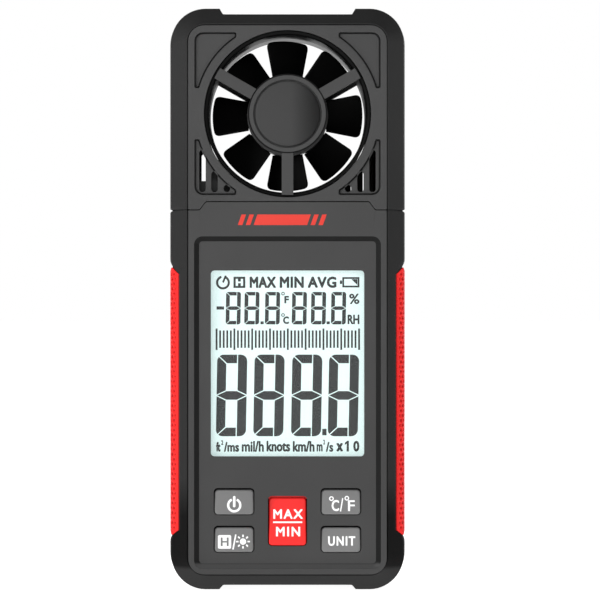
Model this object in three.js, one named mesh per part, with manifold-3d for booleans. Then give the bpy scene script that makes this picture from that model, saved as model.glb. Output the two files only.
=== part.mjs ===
// Pocket vane anemometer: a fan head on a slim body with a display, five keys and a battery door.
// Millimetres. The face looks along -Y, +X is to its right, +Z runs up the long side.
// The origin is at the middle of the feet.

import * as THREE from 'three';
import { mergeVertices } from 'three/addons/utils/BufferGeometryUtils.js';
import Module from 'manifold-3d';

const wasm = await Module();
wasm.setup();

// ---------------------------------------------------------------- driving dimensions

const WIDTH = 63.2;
const HEIGHT = 155.8;
const DEPTH = 30;
const FACE_Y = DEPTH / 2;                 // distance of each face from the middle plane

const GAP = 0.12;                         // clearance between pieces that are fixed together
const ROUND = { large: 44, medium: 30, small: 16, fine: 10 };   // sides of a circle, by its size
const SPLIT = 0.05;                       // each half shell stops this far from the middle plane
const ROOT = 0.2;                         // how far a boss or tongue runs into the wall it stands on
const PAST = 1;                           // how far a cutter runs past the surface it cuts

const BUMPER_RADIUS = 9.7;
const BEVEL = { width: 4.95, depth: 5 };  // sloping edge of the rubber bumper, both faces
const RELIEF = { half: 17.2, halfOutside: 18.4, top: 1.6, bottom: 1.1 };
const NOTCH = 1.1;                        // side of the square groove at the seam, cut on its edge

const FACE = { half: 26.4, bottom: 4.6, top: 150.55, radius: 4.3 };
const SKIRT = { half: 28.6, bottom: 2.4, top: 153.2, radius: 6.7 };
const SHOULDER_Y = 10.2;                  // where the shell steps out under the bumper's lip
const SHOULDER_WALL = 1.7;                // thickness of that step
const WALL = 1.9;
const PLATE_Y = 12.4;                     // inner side of both face plates

const SEAM = { side: 101.45, middle: 103.6, halfMiddle: 21.8, halfSide: 23.2, gap: 0.2 };

const GRIP = {
  inner: 28.85, outerLow: 14.05, outerHigh: 86.45, innerLow: 16.1, innerHigh: 84.4, thick: 1.2,
};

const PANEL = { half: 24.8, bottom: 6.2, top: 94.4, radius: 2.2, slope: 1.25, deep: 1 };
const PANEL_Y = FACE_Y - PANEL.deep;
const WINDOW = { half: 20.3, bottom: 36, top: 85.25, radius: 0.95, clear: 0.1 };
const FLANGE = { wide: 1, front: -13.1, clear: 0.15 };      // step that the window pane sits in

const FAN = {
  z: 127, holeRadius: 22.2, ductOuter: 22.05, ductInner: 20.95, lip: 0.8, flare: 0.6, flareDeep: 1,
};
const HUB = { radius: 10.25, inner: 8.5, recessRadius: 9.1, recess: 1.1 };
const CAP = { radius: 8.72, thick: 1, bevel: 0.3 };
const SPOKE = { width: 3.1, deep: 2.8, start: 4, reach: 21.6, angles: [90, 210, 330] };
const ROTOR = {
  hub: 10.9, rim: 9.7, web: -3, boss: 2.6, half: 4.5, tip: 20.2, blades: 8, rootWidth: 8, tipWidth: 11.2,
};
const BLADE = { pitch: 40, thick: 0.8, inner: 10.3, outer: 20.8, corner: 1.6, sweepY: 6 };
const SHAFT = { radius: 0.75, bore: 0.8, half: 12.2 };
const BEARING = { radius: 3, inner: 10.4, outer: 12.4, clearSide: 0.05, clearEnd: 0.1 };

const POCKET = {
  half: 24.7, reach: 21.6, radius: 2.2, corner: 0.6, ring: 24.4, fromX: 13.6, fromZ: 6.8, deep: 0.8,
};
const SLOT = { width: 1.7, bottom: 106.2, tops: [117.4, 111.7, 108.1], xs: [22.6, 19.4, 16.1] };
const REAR_RIGHT_SLOT_XS = [21.4, 18.1, 14.9];

const CASE_SCREWS = [[-23, 14], [23, 14], [-23, 94.5], [23, 94.5]];
const HEAD_SCREWS = [[-20.5, 144.5], [20.5, 144.5]];
const PCB_SCREWS = [[-19.8, 30.6], [19.8, 30.6], [-19.8, 91.8], [19.8, 91.8]];

const PCB = { front: -6.8, back: -5.2, half: 22.6, bottom: 8.6, top: 98.5, radius: 1.5, clear: 0.1 };
const LCD = { half: 22.2, bottom: 34, top: 88, front: -11.6, back: -9.6 };

const SMALL_KEY = { w: 10.4, h: 6.6, radius: 0.95 };
const BUTTON = { front: -14.1, flangeFront: -12.3, back: -10.9, flange: 0.6, tilt: 6, lift: 0.3 };
const BUTTONS = {
  button_power: { x: -14.2, z: 23.75, ...SMALL_KEY },
  button_hold: { x: -14.2, z: 13.75, ...SMALL_KEY },
  button_max_min: { x: 0, z: 18.6, w: 10, h: 12.7, radius: 0.8 },
  button_temperature: { x: 14.2, z: 23.75, ...SMALL_KEY },
  button_unit: { x: 14.2, z: 13.75, ...SMALL_KEY },
};
const BUTTON_CLEAR = { side: 0.2, top: 0.45 };
const MAT = { half: 20.4, bottom: 9.4, top: 28.2, front: -9.8, back: -9, foot: -6.95, rim: 0.9 };
const DOME = { radius: 2.2, back: -7.6, clear: 0.1 };

const CELL = { radius: 5.2, body: 43.5, nub: 1, nubRadius: 1.9, pitch: 11, y: 6.3 };
const BAY = { half: 17, bottom: 28.3, top: 78.7, floor: 0.9, wall: 1.3, endWall: 2.3 };
const DOOR = { half: 18.95, top: 80.7, inner: 13.2, clear: 0.15, corner: 1.2, pin: 0.6, pinLength: 1 };
const DOOR_AXIS = { y: (DOOR.inner + FACE_Y) / 2, z: 28.05 };

const COLOURS = {
  shell: [0x4c4c4c, 0.6, 0],
  bumper: [0x303030, 0.75, 0],
  grip: [0xf2322f, 0.65, 0],
  duct: [0x151515, 0.25, 0],
  blade: [0x060606, 0.5, 0],
  key: [0x7d7d7d, 0.5, 0],
  redKey: [0xfc3636, 0.5, 0],
  clear: [0xeefffe, 0.1, 0],
  lcd: [0xd8e8e6, 0.2, 0],
  white: [0xf0f0ec, 0.5, 0],
  board: [0x1d6b3a, 0.5, 0],
  chip: [0x18181a, 0.4, 0],
  steel: [0xb8bbc0, 0.3, 1],
  brass: [0xc9a24a, 0.35, 1],
  silicone: [0x9aa0a4, 0.8, 0],
  foam: [0x202020, 0.95, 0],
  cell: [0x2f6f9e, 0.4, 0.2],
  redWire: [0xc02020, 0.5, 0],
  blackWire: [0x101010, 0.5, 0],
};

// ---------------------------------------------------------------- solids

function solid(geometry) {
  geometry.deleteAttribute('normal');
  geometry.deleteAttribute('uv');
  const merged = mergeVertices(geometry, 1e-5);
  const corners = merged.index.array;
  const kept = [];
  for (let i = 0; i < corners.length; i += 3) {
    const [a, b, c] = corners.subarray(i, i + 3);
    if (a !== b && b !== c && c !== a) kept.push(a, b, c);
  }
  return new wasm.Manifold(new wasm.Mesh({
    numProp: 3,
    vertProperties: new Float32Array(merged.attributes.position.array),
    triVerts: new Uint32Array(kept),
  }));
}

function surface(body) {
  const mesh = body.getMesh();
  const geometry = new THREE.BufferGeometry();
  geometry.setAttribute('position', new THREE.BufferAttribute(mesh.vertProperties, 3));
  geometry.setIndex(new THREE.BufferAttribute(mesh.triVerts, 1));
  geometry.computeVertexNormals();
  return geometry;
}

const radians = THREE.MathUtils.degToRad;

// A box given by its low and high ends along X, Y and Z.
function block([x0, x1], [y0, y1], [z0, z1]) {
  const box = new THREE.BoxGeometry(x1 - x0, y1 - y0, z1 - z0);
  return solid(box.translate((x0 + x1) / 2, (y0 + y1) / 2, (z0 + z1) / 2));
}

// A flat outline in X and Z, carried along Y.
function slab(shape, y0, y1, segments = 2) {
  const extruded = new THREE.ExtrudeGeometry(shape, {
    depth: Math.abs(y1 - y0), bevelEnabled: false, curveSegments: segments,
  });
  return solid(extruded.rotateX(Math.PI / 2).translate(0, Math.max(y0, y1), 0));
}

// The same with both ends sloping in by the bevel's width over its depth.
function bevelledSlab(shape, y0, y1, bevel, segments = 4) {
  const extruded = new THREE.ExtrudeGeometry(shape, {
    depth: y1 - y0 - 2 * bevel.depth,
    bevelEnabled: true,
    bevelThickness: bevel.depth,
    bevelSize: bevel.width,
    bevelOffset: -bevel.width,
    bevelSegments: 1,
    curveSegments: segments,
  });
  return solid(extruded.rotateX(Math.PI / 2).translate(0, y1 - bevel.depth, 0));
}

function roundedRect(x0, x1, z0, z1, r) {
  const shape = new THREE.Shape();
  shape.absarc(x1 - r, z0 + r, r, -Math.PI / 2, 0);
  shape.absarc(x1 - r, z1 - r, r, 0, Math.PI / 2);
  shape.absarc(x0 + r, z1 - r, r, Math.PI / 2, Math.PI);
  shape.absarc(x0 + r, z0 + r, r, Math.PI, Math.PI * 1.5);
  return shape;
}

function polygon(points) {
  return new THREE.Shape(points.map(([x, z]) => new THREE.Vector2(x, z)));
}

// A profile of radius and Y, turned about an axis along Y through x and z.
function turnedY(profile, x, z, segments = ROUND.small) {
  const points = profile.map(([r, y]) => new THREE.Vector2(r, y));
  return solid(new THREE.LatheGeometry(points, segments).translate(x, 0, z));
}

function rodY(radius, y0, y1, x, z, segments = ROUND.small) {
  return turnedY([[0, y0], [radius, y0], [radius, y1], [0, y1]], x, z, segments);
}

function ringY(inner, outer, y0, y1, x, z, segments = ROUND.small) {
  return turnedY([[inner, y0], [outer, y0], [outer, y1], [inner, y1], [inner, y0]], x, z, segments);
}

function tube(points, radius, steps, sides = 6) {
  const path = new THREE.CatmullRomCurve3(points.map((p) => new THREE.Vector3(...p)));
  const section = new THREE.Shape();
  section.absarc(0, 0, radius, 0, Math.PI * 2);
  return solid(new THREE.ExtrudeGeometry(section, {
    extrudePath: path, steps, curveSegments: sides / 2, bevelEnabled: false,
  }));
}

function joined(bodies) {
  return bodies.reduce((whole, body) => whole.add(body));
}

function mirroredX(make) {
  return make(-1).add(make(1));
}

const object = new THREE.Group();

function place(name, colour, body) {
  const [color, roughness, metalness] = COLOURS[colour];
  const mesh = new THREE.Mesh(surface(body), new THREE.MeshStandardMaterial({ color, roughness, metalness }));
  mesh.name = name;
  object.add(mesh);
}

// ---------------------------------------------------------------- case outlines

function faceOutline(grow) {
  return roundedRect(
    -FACE.half - grow, FACE.half + grow, FACE.bottom - grow, FACE.top + grow, FACE.radius + grow);
}

function skirtOutline(grow) {
  return roundedRect(
    -SKIRT.half - grow, SKIRT.half + grow, SKIRT.bottom - grow, SKIRT.top + grow, SKIRT.radius + grow);
}

// Everything below the seam, or everything above it when the sign is +1.
function seamZone(sign) {
  const far = 200;
  const shift = (sign * SEAM.gap) / 2;
  const side = SEAM.side + shift;
  const middle = SEAM.middle + shift;
  return slab(polygon([
    [-far, sign * far], [-far, side], [-SEAM.halfSide, side], [-SEAM.halfMiddle, middle],
    [SEAM.halfMiddle, middle], [SEAM.halfSide, side], [far, side], [far, sign * far],
  ]), -FACE_Y - PAST, FACE_Y + PAST);
}

const bodyZone = seamZone(-1);
const headZone = seamZone(1);

// ---------------------------------------------------------------- screw bosses

const BOSS = {
  front: 2.2, frontHole: 1.1, frontEnd: -0.2, holeEnd: -9, rear: 2.9, rearHole: 1.2, head: 2.1, seat: 10.2,
};

function frontBoss([x, z]) {
  return rodY(BOSS.front, -PLATE_Y - ROOT, BOSS.frontEnd, x, z, ROUND.fine);
}

function frontBossHole([x, z]) {
  return rodY(BOSS.frontHole, BOSS.holeEnd, 0, x, z, ROUND.fine);
}

function rearBoss([x, z]) {
  return rodY(BOSS.rear, SPLIT, PLATE_Y + ROOT, x, z, ROUND.fine);
}

function rearBossHole([x, z]) {
  return rodY(BOSS.rearHole, 0, BOSS.seat + PAST, x, z, ROUND.fine)
    .add(rodY(BOSS.head, BOSS.seat, FACE_Y + PAST, x, z, ROUND.fine));
}

// ---------------------------------------------------------------- half shells

// side is -1 for the front half and +1 for the rear half.
function halfShell(side) {
  const step = SHOULDER_Y - SHOULDER_WALL;
  const face = slab(faceOutline(0), side * FACE_Y, side * (SHOULDER_Y - ROOT));
  const skirt = slab(skirtOutline(0), side * SHOULDER_Y, side * SPLIT);
  const narrow = slab(faceOutline(-WALL), side * PLATE_Y, side * (step - ROOT));
  const wide = slab(skirtOutline(-WALL), side * step, -side * PAST);
  return face.add(skirt).subtract(narrow).subtract(wide);
}

function fanHole() {
  return rodY(FAN.holeRadius, -FACE_Y - PAST, FACE_Y + PAST, 0, FAN.z, ROUND.large);
}

// Four shallow corner pockets round the fan, in the face on one side.
function cornerPockets(side) {
  const outside = side * (FACE_Y + PAST);
  const floor = side * (FACE_Y - POCKET.deep);
  const frame = slab(roundedRect(
    -POCKET.half, POCKET.half, FAN.z - POCKET.reach, FAN.z + POCKET.reach, POCKET.radius), outside, floor);
  const corners = [];
  for (const x of [-1, 1]) {
    for (const z of [-1, 1]) {
      const xs = [x * POCKET.fromX, x * 2 * POCKET.half].sort((a, b) => a - b);
      const zs = [FAN.z + z * POCKET.fromZ, FAN.z + z * 2 * POCKET.reach].sort((a, b) => a - b);
      corners.push(slab(roundedRect(...xs, ...zs, POCKET.corner), outside, floor));
    }
  }
  const ring = rodY(POCKET.ring, -FACE_Y - 2 * PAST, FACE_Y + 2 * PAST, 0, FAN.z, ROUND.large);
  return frame.intersect(joined(corners)).subtract(ring);
}

// Three upright slots with round ends, from the tall one at the edge to the short one.
function ventSlots(side, signX, xs) {
  const half = SLOT.width / 2;
  const endRadius = half - 0.01;
  return joined(xs.map((x, i) => slab(
    roundedRect(signX * x - half, signX * x + half, SLOT.bottom, SLOT.tops[i], endRadius),
    side * (FACE_Y + PAST), side * (PLATE_Y - PAST))));
}

function headCover(side, leftXs, rightXs) {
  const bosses = joined(HEAD_SCREWS.map(side < 0 ? frontBoss : rearBoss));
  const holes = joined(HEAD_SCREWS.map(side < 0 ? frontBossHole : rearBossHole));
  return halfShell(side)
    .intersect(headZone)
    .subtract(cornerPockets(side))
    .subtract(ventSlots(side, -1, leftXs))
    .subtract(ventSlots(side, 1, rightXs))
    .add(bosses)
    .subtract(fanHole())
    .subtract(holes);
}

const TONGUE = { inner: 8, outer: 13, deep: 10.8, slack: 0.15, bottom: 97, rootTop: 100.45, top: 105.1 };

// Two tongues that reach up behind the head's cover and hold it in line with the body.
function tongues(side) {
  const ends = (a, b) => [a, b].sort((p, q) => p - q);
  return mirroredX((x) => {
    const xs = ends(x * TONGUE.inner, x * TONGUE.outer);
    const rootYs = ends(side * (PLATE_Y + ROOT), side * TONGUE.deep);
    const reachYs = ends(side * (PLATE_Y - TONGUE.slack), side * TONGUE.deep);
    return block(xs, rootYs, [TONGUE.bottom, TONGUE.rootTop])
      .add(block(xs, reachYs, [TONGUE.bottom, TONGUE.top]));
  });
}

// ---------------------------------------------------------------- body covers

// The sunken panel, with a slope all round that rises to the face.
function panelRecess() {
  const front = -FACE_Y - 2 * PAST - PANEL.deep;
  const shape = roundedRect(-PANEL.half, PANEL.half, PANEL.bottom, PANEL.top, PANEL.radius);
  return bevelledSlab(shape, front, -PANEL_Y, { width: PANEL.slope, depth: PANEL.deep });
}

function windowOutline(grow) {
  return roundedRect(-WINDOW.half - grow, WINDOW.half + grow, WINDOW.bottom - grow, WINDOW.top + grow,
    WINDOW.radius + grow);
}

function windowOpening() {
  const through = slab(windowOutline(0), -FACE_Y, -PLATE_Y + PAST);
  return through.add(slab(windowOutline(FLANGE.wide), FLANGE.front, -PLATE_Y + PAST));
}

function buttonHole({ x, z, w, h, radius }) {
  const half = w / 2 + BUTTON_CLEAR.side;
  return slab(roundedRect(
    x - half, x + half, z - h / 2 - BUTTON_CLEAR.side, z + h / 2 + BUTTON_CLEAR.top,
    radius + BUTTON_CLEAR.side), -FACE_Y, -PLATE_Y + PAST);
}

const POST = { radius: 1.9, hole: 0.9, holeEnd: -11.2 };

function pcbPost([x, z]) {
  return rodY(POST.radius, -PLATE_Y - ROOT, PCB.front - PCB.clear, x, z, ROUND.fine);
}

function pcbPostHole([x, z]) {
  return rodY(POST.hole, POST.holeEnd, PCB.front, x, z, ROUND.fine);
}

function frontCover() {
  return halfShell(-1)
    .intersect(bodyZone)
    .subtract(panelRecess())
    .subtract(windowOpening())
    .subtract(joined(Object.values(BUTTONS).map(buttonHole)))
    .add(tongues(-1))
    .add(joined(CASE_SCREWS.map(frontBoss)))
    .add(joined(PCB_SCREWS.map(pcbPost)))
    .subtract(joined(CASE_SCREWS.map(frontBossHole)))
    .subtract(joined(PCB_SCREWS.map(pcbPostHole)));
}

function doorOutline(grow) {
  return roundedRect(-DOOR.half - grow, DOOR.half + grow, DOOR_AXIS.z, DOOR.top + grow, DOOR.corner);
}

function rodX(radius, x0, x1, y, z, segments = ROUND.small) {
  const rod = new THREE.CylinderGeometry(radius, radius, x1 - x0, segments);
  return solid(rod.rotateZ(Math.PI / 2).translate((x0 + x1) / 2, y, z));
}

const DOOR_ROUND = FACE_Y - DOOR_AXIS.y;

// The thumb notch and the latch tongue are at the door's top edge.
const LATCH = { half: 3.6, front: 13.7, back: 14.4, reach: 1.8 };
const THUMB = { half: 4.5, top: 83.4, floor: 13.3, corner: 1.2 };
const RIB = { x: 5.5, thick: 0.8, deep: 1.1, bottom: 32.3, top: 77.7 };
const LEAD_HOLE = { radius: 0.95, past: 4 };

function rearCover() {
  const bay = block(
    [-BAY.half - BAY.wall, BAY.half + BAY.wall], [-SPLIT, PLATE_Y + ROOT],
    [BAY.bottom - BAY.endWall, BAY.top + BAY.endWall]);
  const inside = block([-BAY.half, BAY.half], [BAY.floor, FACE_Y + PAST], [BAY.bottom, BAY.top]);
  const edge = DOOR.clear;
  const pocket = block(
    [-DOOR.half - edge, DOOR.half + edge], [DOOR.inner - edge, FACE_Y + PAST],
    [DOOR_AXIS.z - DOOR_ROUND - edge, DOOR.top + edge]);
  const pinHole = rodX(
    DOOR.pin + edge, -DOOR.half - DOOR.pinLength - edge, DOOR.half + DOOR.pinLength + edge,
    DOOR_AXIS.y, DOOR_AXIS.z);
  const thumbNotch = slab(
    roundedRect(-THUMB.half, THUMB.half, DOOR.top - PAST, THUMB.top, THUMB.corner), THUMB.floor, FACE_Y + PAST);
  const leadHoles = joined([
    rodZ(LEAD_HOLE.radius, BAY.top - PAST, BAY.top + LEAD_HOLE.past, -CELL.pitch, CELL.y),
    rodZ(LEAD_HOLE.radius, BAY.bottom - LEAD_HOLE.past, BAY.bottom + PAST, CELL.pitch, CELL.y),
  ]);
  return halfShell(1)
    .intersect(bodyZone)
    .add(tongues(1))
    .add(bay)
    .add(joined(CASE_SCREWS.map(rearBoss)))
    .subtract(inside)
    .subtract(pocket)
    .subtract(pinHole)
    .subtract(thumbNotch)
    .subtract(leadHoles)
    .subtract(joined(CASE_SCREWS.map(rearBossHole)));
}

function batteryDoor() {
  const plate = slab(doorOutline(0), DOOR.inner, FACE_Y);
  const square = block(
    [-DOOR.half, DOOR.half], [DOOR.inner, FACE_Y], [DOOR_AXIS.z, DOOR_AXIS.z + 2 * DOOR.corner]);
  const barrel = rodX(DOOR_ROUND, -DOOR.half, DOOR.half, DOOR_AXIS.y, DOOR_AXIS.z);
  const pins = rodX(
    DOOR.pin, -DOOR.half - DOOR.pinLength, DOOR.half + DOOR.pinLength, DOOR_AXIS.y, DOOR_AXIS.z, ROUND.fine);
  const tongue = block(
    [-LATCH.half, LATCH.half], [LATCH.front, LATCH.back], [DOOR.top - PAST, DOOR.top + LATCH.reach]);
  const ribs = mirroredX((x) => block(
    [x * RIB.x - RIB.thick / 2, x * RIB.x + RIB.thick / 2],
    [DOOR.inner - RIB.deep, DOOR.inner + ROOT], [RIB.bottom, RIB.top]));
  return joined([plate, square, barrel, pins, tongue, ribs]);
}

// ---------------------------------------------------------------- bumpers and grips

function outerForm() {
  const shape = roundedRect(-WIDTH / 2, WIDTH / 2, 0, HEIGHT, BUMPER_RADIUS);
  return bevelledSlab(shape, -FACE_Y, FACE_Y, BEVEL);
}

// The outer form drawn in by the grip's thickness, less a small gap.
function gripBed(gap) {
  const inset = GRIP.thick - gap;
  const half = WIDTH / 2 - inset;
  const drop = inset * Math.SQRT2;
  const width = half - (WIDTH / 2 - BEVEL.width);
  const bevel = { width, depth: (width * BEVEL.depth) / BEVEL.width };
  const shape = roundedRect(-half, half, inset, HEIGHT - inset, BUMPER_RADIUS - inset);
  return bevelledSlab(shape, -FACE_Y + drop, FACE_Y - drop, bevel);
}

// The part of the form that a grip fills, with ends that slope outward.
function gripZone(side, gap) {
  const far = WIDTH;
  const run = far - GRIP.inner;
  const highSlope = (GRIP.outerHigh - GRIP.innerHigh) / (WIDTH / 2 - GRIP.inner);
  const lowSlope = (GRIP.innerLow - GRIP.outerLow) / (WIDTH / 2 - GRIP.inner);
  return slab(polygon([
    [side * (GRIP.inner + gap), GRIP.innerLow + gap],
    [side * far, GRIP.innerLow - lowSlope * run + gap],
    [side * far, GRIP.innerHigh + highSlope * run - gap],
    [side * (GRIP.inner + gap), GRIP.innerHigh - gap],
  ]), -FACE_Y - PAST, FACE_Y + PAST);
}

// The shallow dip along the top or bottom edge, whose two ends slope up to the corners.
function relief(z, depth, outward) {
  const beyond = 5;
  const far = z + outward * beyond;
  const floor = z - outward * depth;
  const spread = RELIEF.halfOutside + (RELIEF.halfOutside - RELIEF.half) * (beyond / depth);
  return slab(polygon([
    [-RELIEF.half, floor], [RELIEF.half, floor], [spread, far], [-spread, far],
  ]), -FACE_Y - PAST, FACE_Y + PAST);
}

function seamGroove(side) {
  const groove = new THREE.BoxGeometry(NOTCH, DEPTH + 2 * PAST, NOTCH);
  return solid(groove.rotateY(Math.PI / 4).translate((side * WIDTH) / 2, 0, SEAM.side));
}

function bumperForm() {
  const shell = outerForm()
    .subtract(slab(faceOutline(GAP), -FACE_Y - PAST, FACE_Y + PAST))
    .subtract(slab(skirtOutline(GAP), -SHOULDER_Y - GAP, SHOULDER_Y + GAP));
  return shell
    .subtract(relief(HEIGHT, RELIEF.top, 1))
    .subtract(relief(0, RELIEF.bottom, -1))
    .subtract(mirroredX(seamGroove));
}

function grip(side) {
  return outerForm().intersect(gripZone(side, GAP)).subtract(gripBed(GAP));
}

const bumper = bumperForm();
const gripPockets = mirroredX((side) => gripZone(side, 0)).subtract(gripBed(0));

// ---------------------------------------------------------------- fan head

// Half of the fan's housing: half the duct, three spokes and a hub that holds a bearing.
function fanHousing(side) {
  const y = (value) => side * value;
  const span = (a, b) => [y(a), y(b)].sort((p, q) => p - q);
  const lipTop = FACE_Y - FAN.lip;
  const wall = [
    [FAN.ductInner, SPLIT], [FAN.ductOuter, SPLIT], [FAN.ductOuter, lipTop],
    [FAN.ductInner + FAN.flare, lipTop], [FAN.ductInner, lipTop - FAN.flareDeep], [FAN.ductInner, SPLIT],
  ].map(([r, distance]) => [r, y(distance)]);
  if (side < 0) wall.reverse();
  const duct = turnedY(wall, 0, FAN.z, ROUND.large);
  const hub = rodY(HUB.radius, ...span(HUB.inner, FACE_Y), 0, FAN.z, ROUND.medium);
  const spokes = joined(SPOKE.angles.map((angle) => {
    const bar = new THREE.BoxGeometry(SPOKE.reach - SPOKE.start, SPOKE.deep, SPOKE.width);
    bar.translate((SPOKE.reach + SPOKE.start) / 2, y(FACE_Y - SPOKE.deep / 2), 0);
    return solid(bar.rotateY(radians(angle)).translate(0, 0, FAN.z));
  }));
  const bearingSeat = rodY(
    BEARING.radius + BEARING.clearSide, ...span(HUB.inner - PAST, BEARING.outer + BEARING.clearEnd),
    0, FAN.z, ROUND.small);
  return joined([duct, hub, spokes]).subtract(bearingSeat);
}

const HALL = { z: FAN.z - 5.6, half: [2, 1.5], front: -10.4, back: -8.6 };

function fanHousingFront() {
  const capRecess = rodY(HUB.recessRadius, -FACE_Y - PAST, -FACE_Y + HUB.recess, 0, FAN.z, ROUND.medium);
  const hallPocket = block(
    [-HALL.half[0] - GAP, HALL.half[0] + GAP], [HALL.front - GAP, -HUB.inner + PAST],
    [HALL.z - HALL.half[1] - GAP, HALL.z + HALL.half[1] + GAP]);
  return fanHousing(-1).subtract(capRecess).subtract(hallPocket);
}

function blade(index) {
  const stretch = 1 / Math.cos(radians(BLADE.pitch));
  const root = (ROTOR.rootWidth / 2) * stretch;
  const tip = (ROTOR.tipWidth / 2) * stretch;
  const end = BLADE.outer;
  const { corner } = BLADE;
  const shape = new THREE.Shape();
  shape.moveTo(BLADE.inner, -root);
  shape.lineTo(end - corner, -tip);
  shape.quadraticCurveTo(end, -tip, end, -tip + corner);
  shape.lineTo(end, tip - corner);
  shape.quadraticCurveTo(end, tip, end - corner, tip);
  shape.lineTo(BLADE.inner, root);
  const plate = new THREE.ExtrudeGeometry(shape, {
    depth: BLADE.thick, bevelEnabled: false, curveSegments: 3,
  });
  plate.translate(0, 0, -BLADE.thick / 2);
  plate.rotateX(radians(90 - BLADE.pitch));
  return solid(plate.rotateY(radians((360 / ROTOR.blades) * index)));
}

function impeller() {
  const cup = [
    [SHAFT.bore, -ROTOR.half], [ROTOR.hub, -ROTOR.half], [ROTOR.hub, ROTOR.half],
    [ROTOR.rim, ROTOR.half], [ROTOR.rim, ROTOR.web], [ROTOR.boss, ROTOR.web],
    [ROTOR.boss, ROTOR.half], [SHAFT.bore, ROTOR.half], [SHAFT.bore, -ROTOR.half],
  ];
  const hub = turnedY(cup, 0, 0, ROUND.medium);
  const blades = joined([...Array(ROTOR.blades).keys()].map(blade));
  const sweep = ringY(BLADE.inner, ROTOR.tip, -BLADE.sweepY, BLADE.sweepY, 0, 0, ROUND.large);
  return hub.add(blades.intersect(sweep)).translate([0, 0, FAN.z]);
}

const MAGNET = { radius: 3.4, front: -6.6, back: -4.6 };

function placeFan() {
  place('fan_housing_front', 'duct', fanHousingFront());
  place('fan_housing_rear', 'duct', fanHousing(1));
  place('hub_cap', 'shell', turnedY([
    [0, -FACE_Y], [CAP.radius - CAP.bevel, -FACE_Y], [CAP.radius, -FACE_Y + CAP.bevel],
    [CAP.radius, -FACE_Y + CAP.thick], [0, -FACE_Y + CAP.thick],
  ], 0, FAN.z, ROUND.medium));
  place('impeller', 'blade', impeller());
  place('rotor_shaft', 'steel', rodY(SHAFT.radius, -SHAFT.half, SHAFT.half, 0, FAN.z));
  place('rotor_magnet', 'steel', ringY(
    SHAFT.bore, MAGNET.radius, MAGNET.front, MAGNET.back, 0, FAN.z, ROUND.small));
  place('front_bearing', 'brass', ringY(
    SHAFT.bore, BEARING.radius, -BEARING.outer, -BEARING.inner, 0, FAN.z, ROUND.small));
  place('rear_bearing', 'brass', ringY(
    SHAFT.bore, BEARING.radius, BEARING.inner, BEARING.outer, 0, FAN.z, ROUND.small));
  place('hall_sensor', 'chip', block(
    [-HALL.half[0], HALL.half[0]], [HALL.front, HALL.back],
    [HALL.z - HALL.half[1], HALL.z + HALL.half[1]]));
}

const SENSOR_BOARD = { ys: [-8, -7], foot: { xs: [-24.2, -14.6], zs: [104.8, 109.3] },
  tab: { xs: [-21.2, -17.6], zs: [109, 111.9] } };
const SENSOR = { xs: [-20.9, -17.9], ys: [-9.6, -8.1], zs: [106.6, 109.6] };
const LEAD = { sensor: 0.7, sensorSteps: 8, battery: 0.6, batterySteps: 12 };

function placeSensors() {
  const { ys, foot, tab } = SENSOR_BOARD;
  place('sensor_board', 'board', block(foot.xs, ys, foot.zs).add(block(tab.xs, ys, tab.zs)));
  place('humidity_sensor', 'white', block(SENSOR.xs, SENSOR.ys, SENSOR.zs));
  const route = [[-16.5, -6, 107.4], [-16.5, -5.6, 104], [-15, -4.4, 100], [-14.5, -4.2, 95]];
  place('sensor_lead', 'blackWire', tube(route, LEAD.sensor, LEAD.sensorSteps));
}

// ---------------------------------------------------------------- display and board

const GASKET = { inner: 0.3, outer: 1.6, front: -12.3, back: -11.75 };
const FRAME = { half: 24.2, above: 1.4, clear: 0.15, front: -12.2, back: -7, radius: 1, hole: 0.3 };
const LIGHT = { half: 21.8, front: -9.4, back: -7.2, bottom: 37.4, top: 84.6 };
const ZEBRA = { half: 19, front: -9.5, back: -6.95, heights: { top: [85.4, 87.6], bottom: [34.4, 36.6] } };

function placeDisplay() {
  const step = FLANGE.front + WINDOW.clear;
  const pane = slab(windowOutline(-WINDOW.clear), -PANEL_Y, step)
    .add(slab(windowOutline(FLANGE.wide - FLANGE.clear), step, -PLATE_Y - WINDOW.clear / 2));
  place('display_window', 'clear', pane);
  const gasket = slab(windowOutline(GASKET.outer), GASKET.front, GASKET.back)
    .subtract(slab(windowOutline(GASKET.inner), GASKET.front - PAST, GASKET.back + PAST));
  place('window_gasket', 'foam', gasket);
  const outside = roundedRect(
    -FRAME.half, FRAME.half, LCD.bottom - FRAME.above, LCD.top + FRAME.above, FRAME.radius);
  const inside = roundedRect(
    -LCD.half - FRAME.clear, LCD.half + FRAME.clear,
    LCD.bottom - FRAME.clear, LCD.top + FRAME.clear, FRAME.hole);
  place('lcd_frame', 'white', slab(outside, FRAME.front, FRAME.back)
    .subtract(slab(inside, FRAME.front - PAST, FRAME.back + PAST)));
  place('lcd_glass', 'lcd', block([-LCD.half, LCD.half], [LCD.front, LCD.back], [LCD.bottom, LCD.top]));
  place('backlight', 'white', block(
    [-LIGHT.half, LIGHT.half], [LIGHT.front, LIGHT.back], [LIGHT.bottom, LIGHT.top]));
  for (const [end, zs] of Object.entries(ZEBRA.heights)) {
    place(`zebra_strip_${end}`, 'silicone', block([-ZEBRA.half, ZEBRA.half], [ZEBRA.front, ZEBRA.back], zs));
  }
}

const BOARD_HOLE = { notch: 2.5, screw: 1.1 };
const CONTROLLER = { half: 5, z: 60, tall: 1.5 };
const BUZZER = { hole: 1, radius: 5, tall: 3.6, x: 12, z: 88.5 };

// Cuts a round hole right through the board.
function boardHole(radius, [x, z]) {
  return rodY(radius, PCB.front - PAST, PCB.back + PAST, x, z, ROUND.fine);
}

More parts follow.
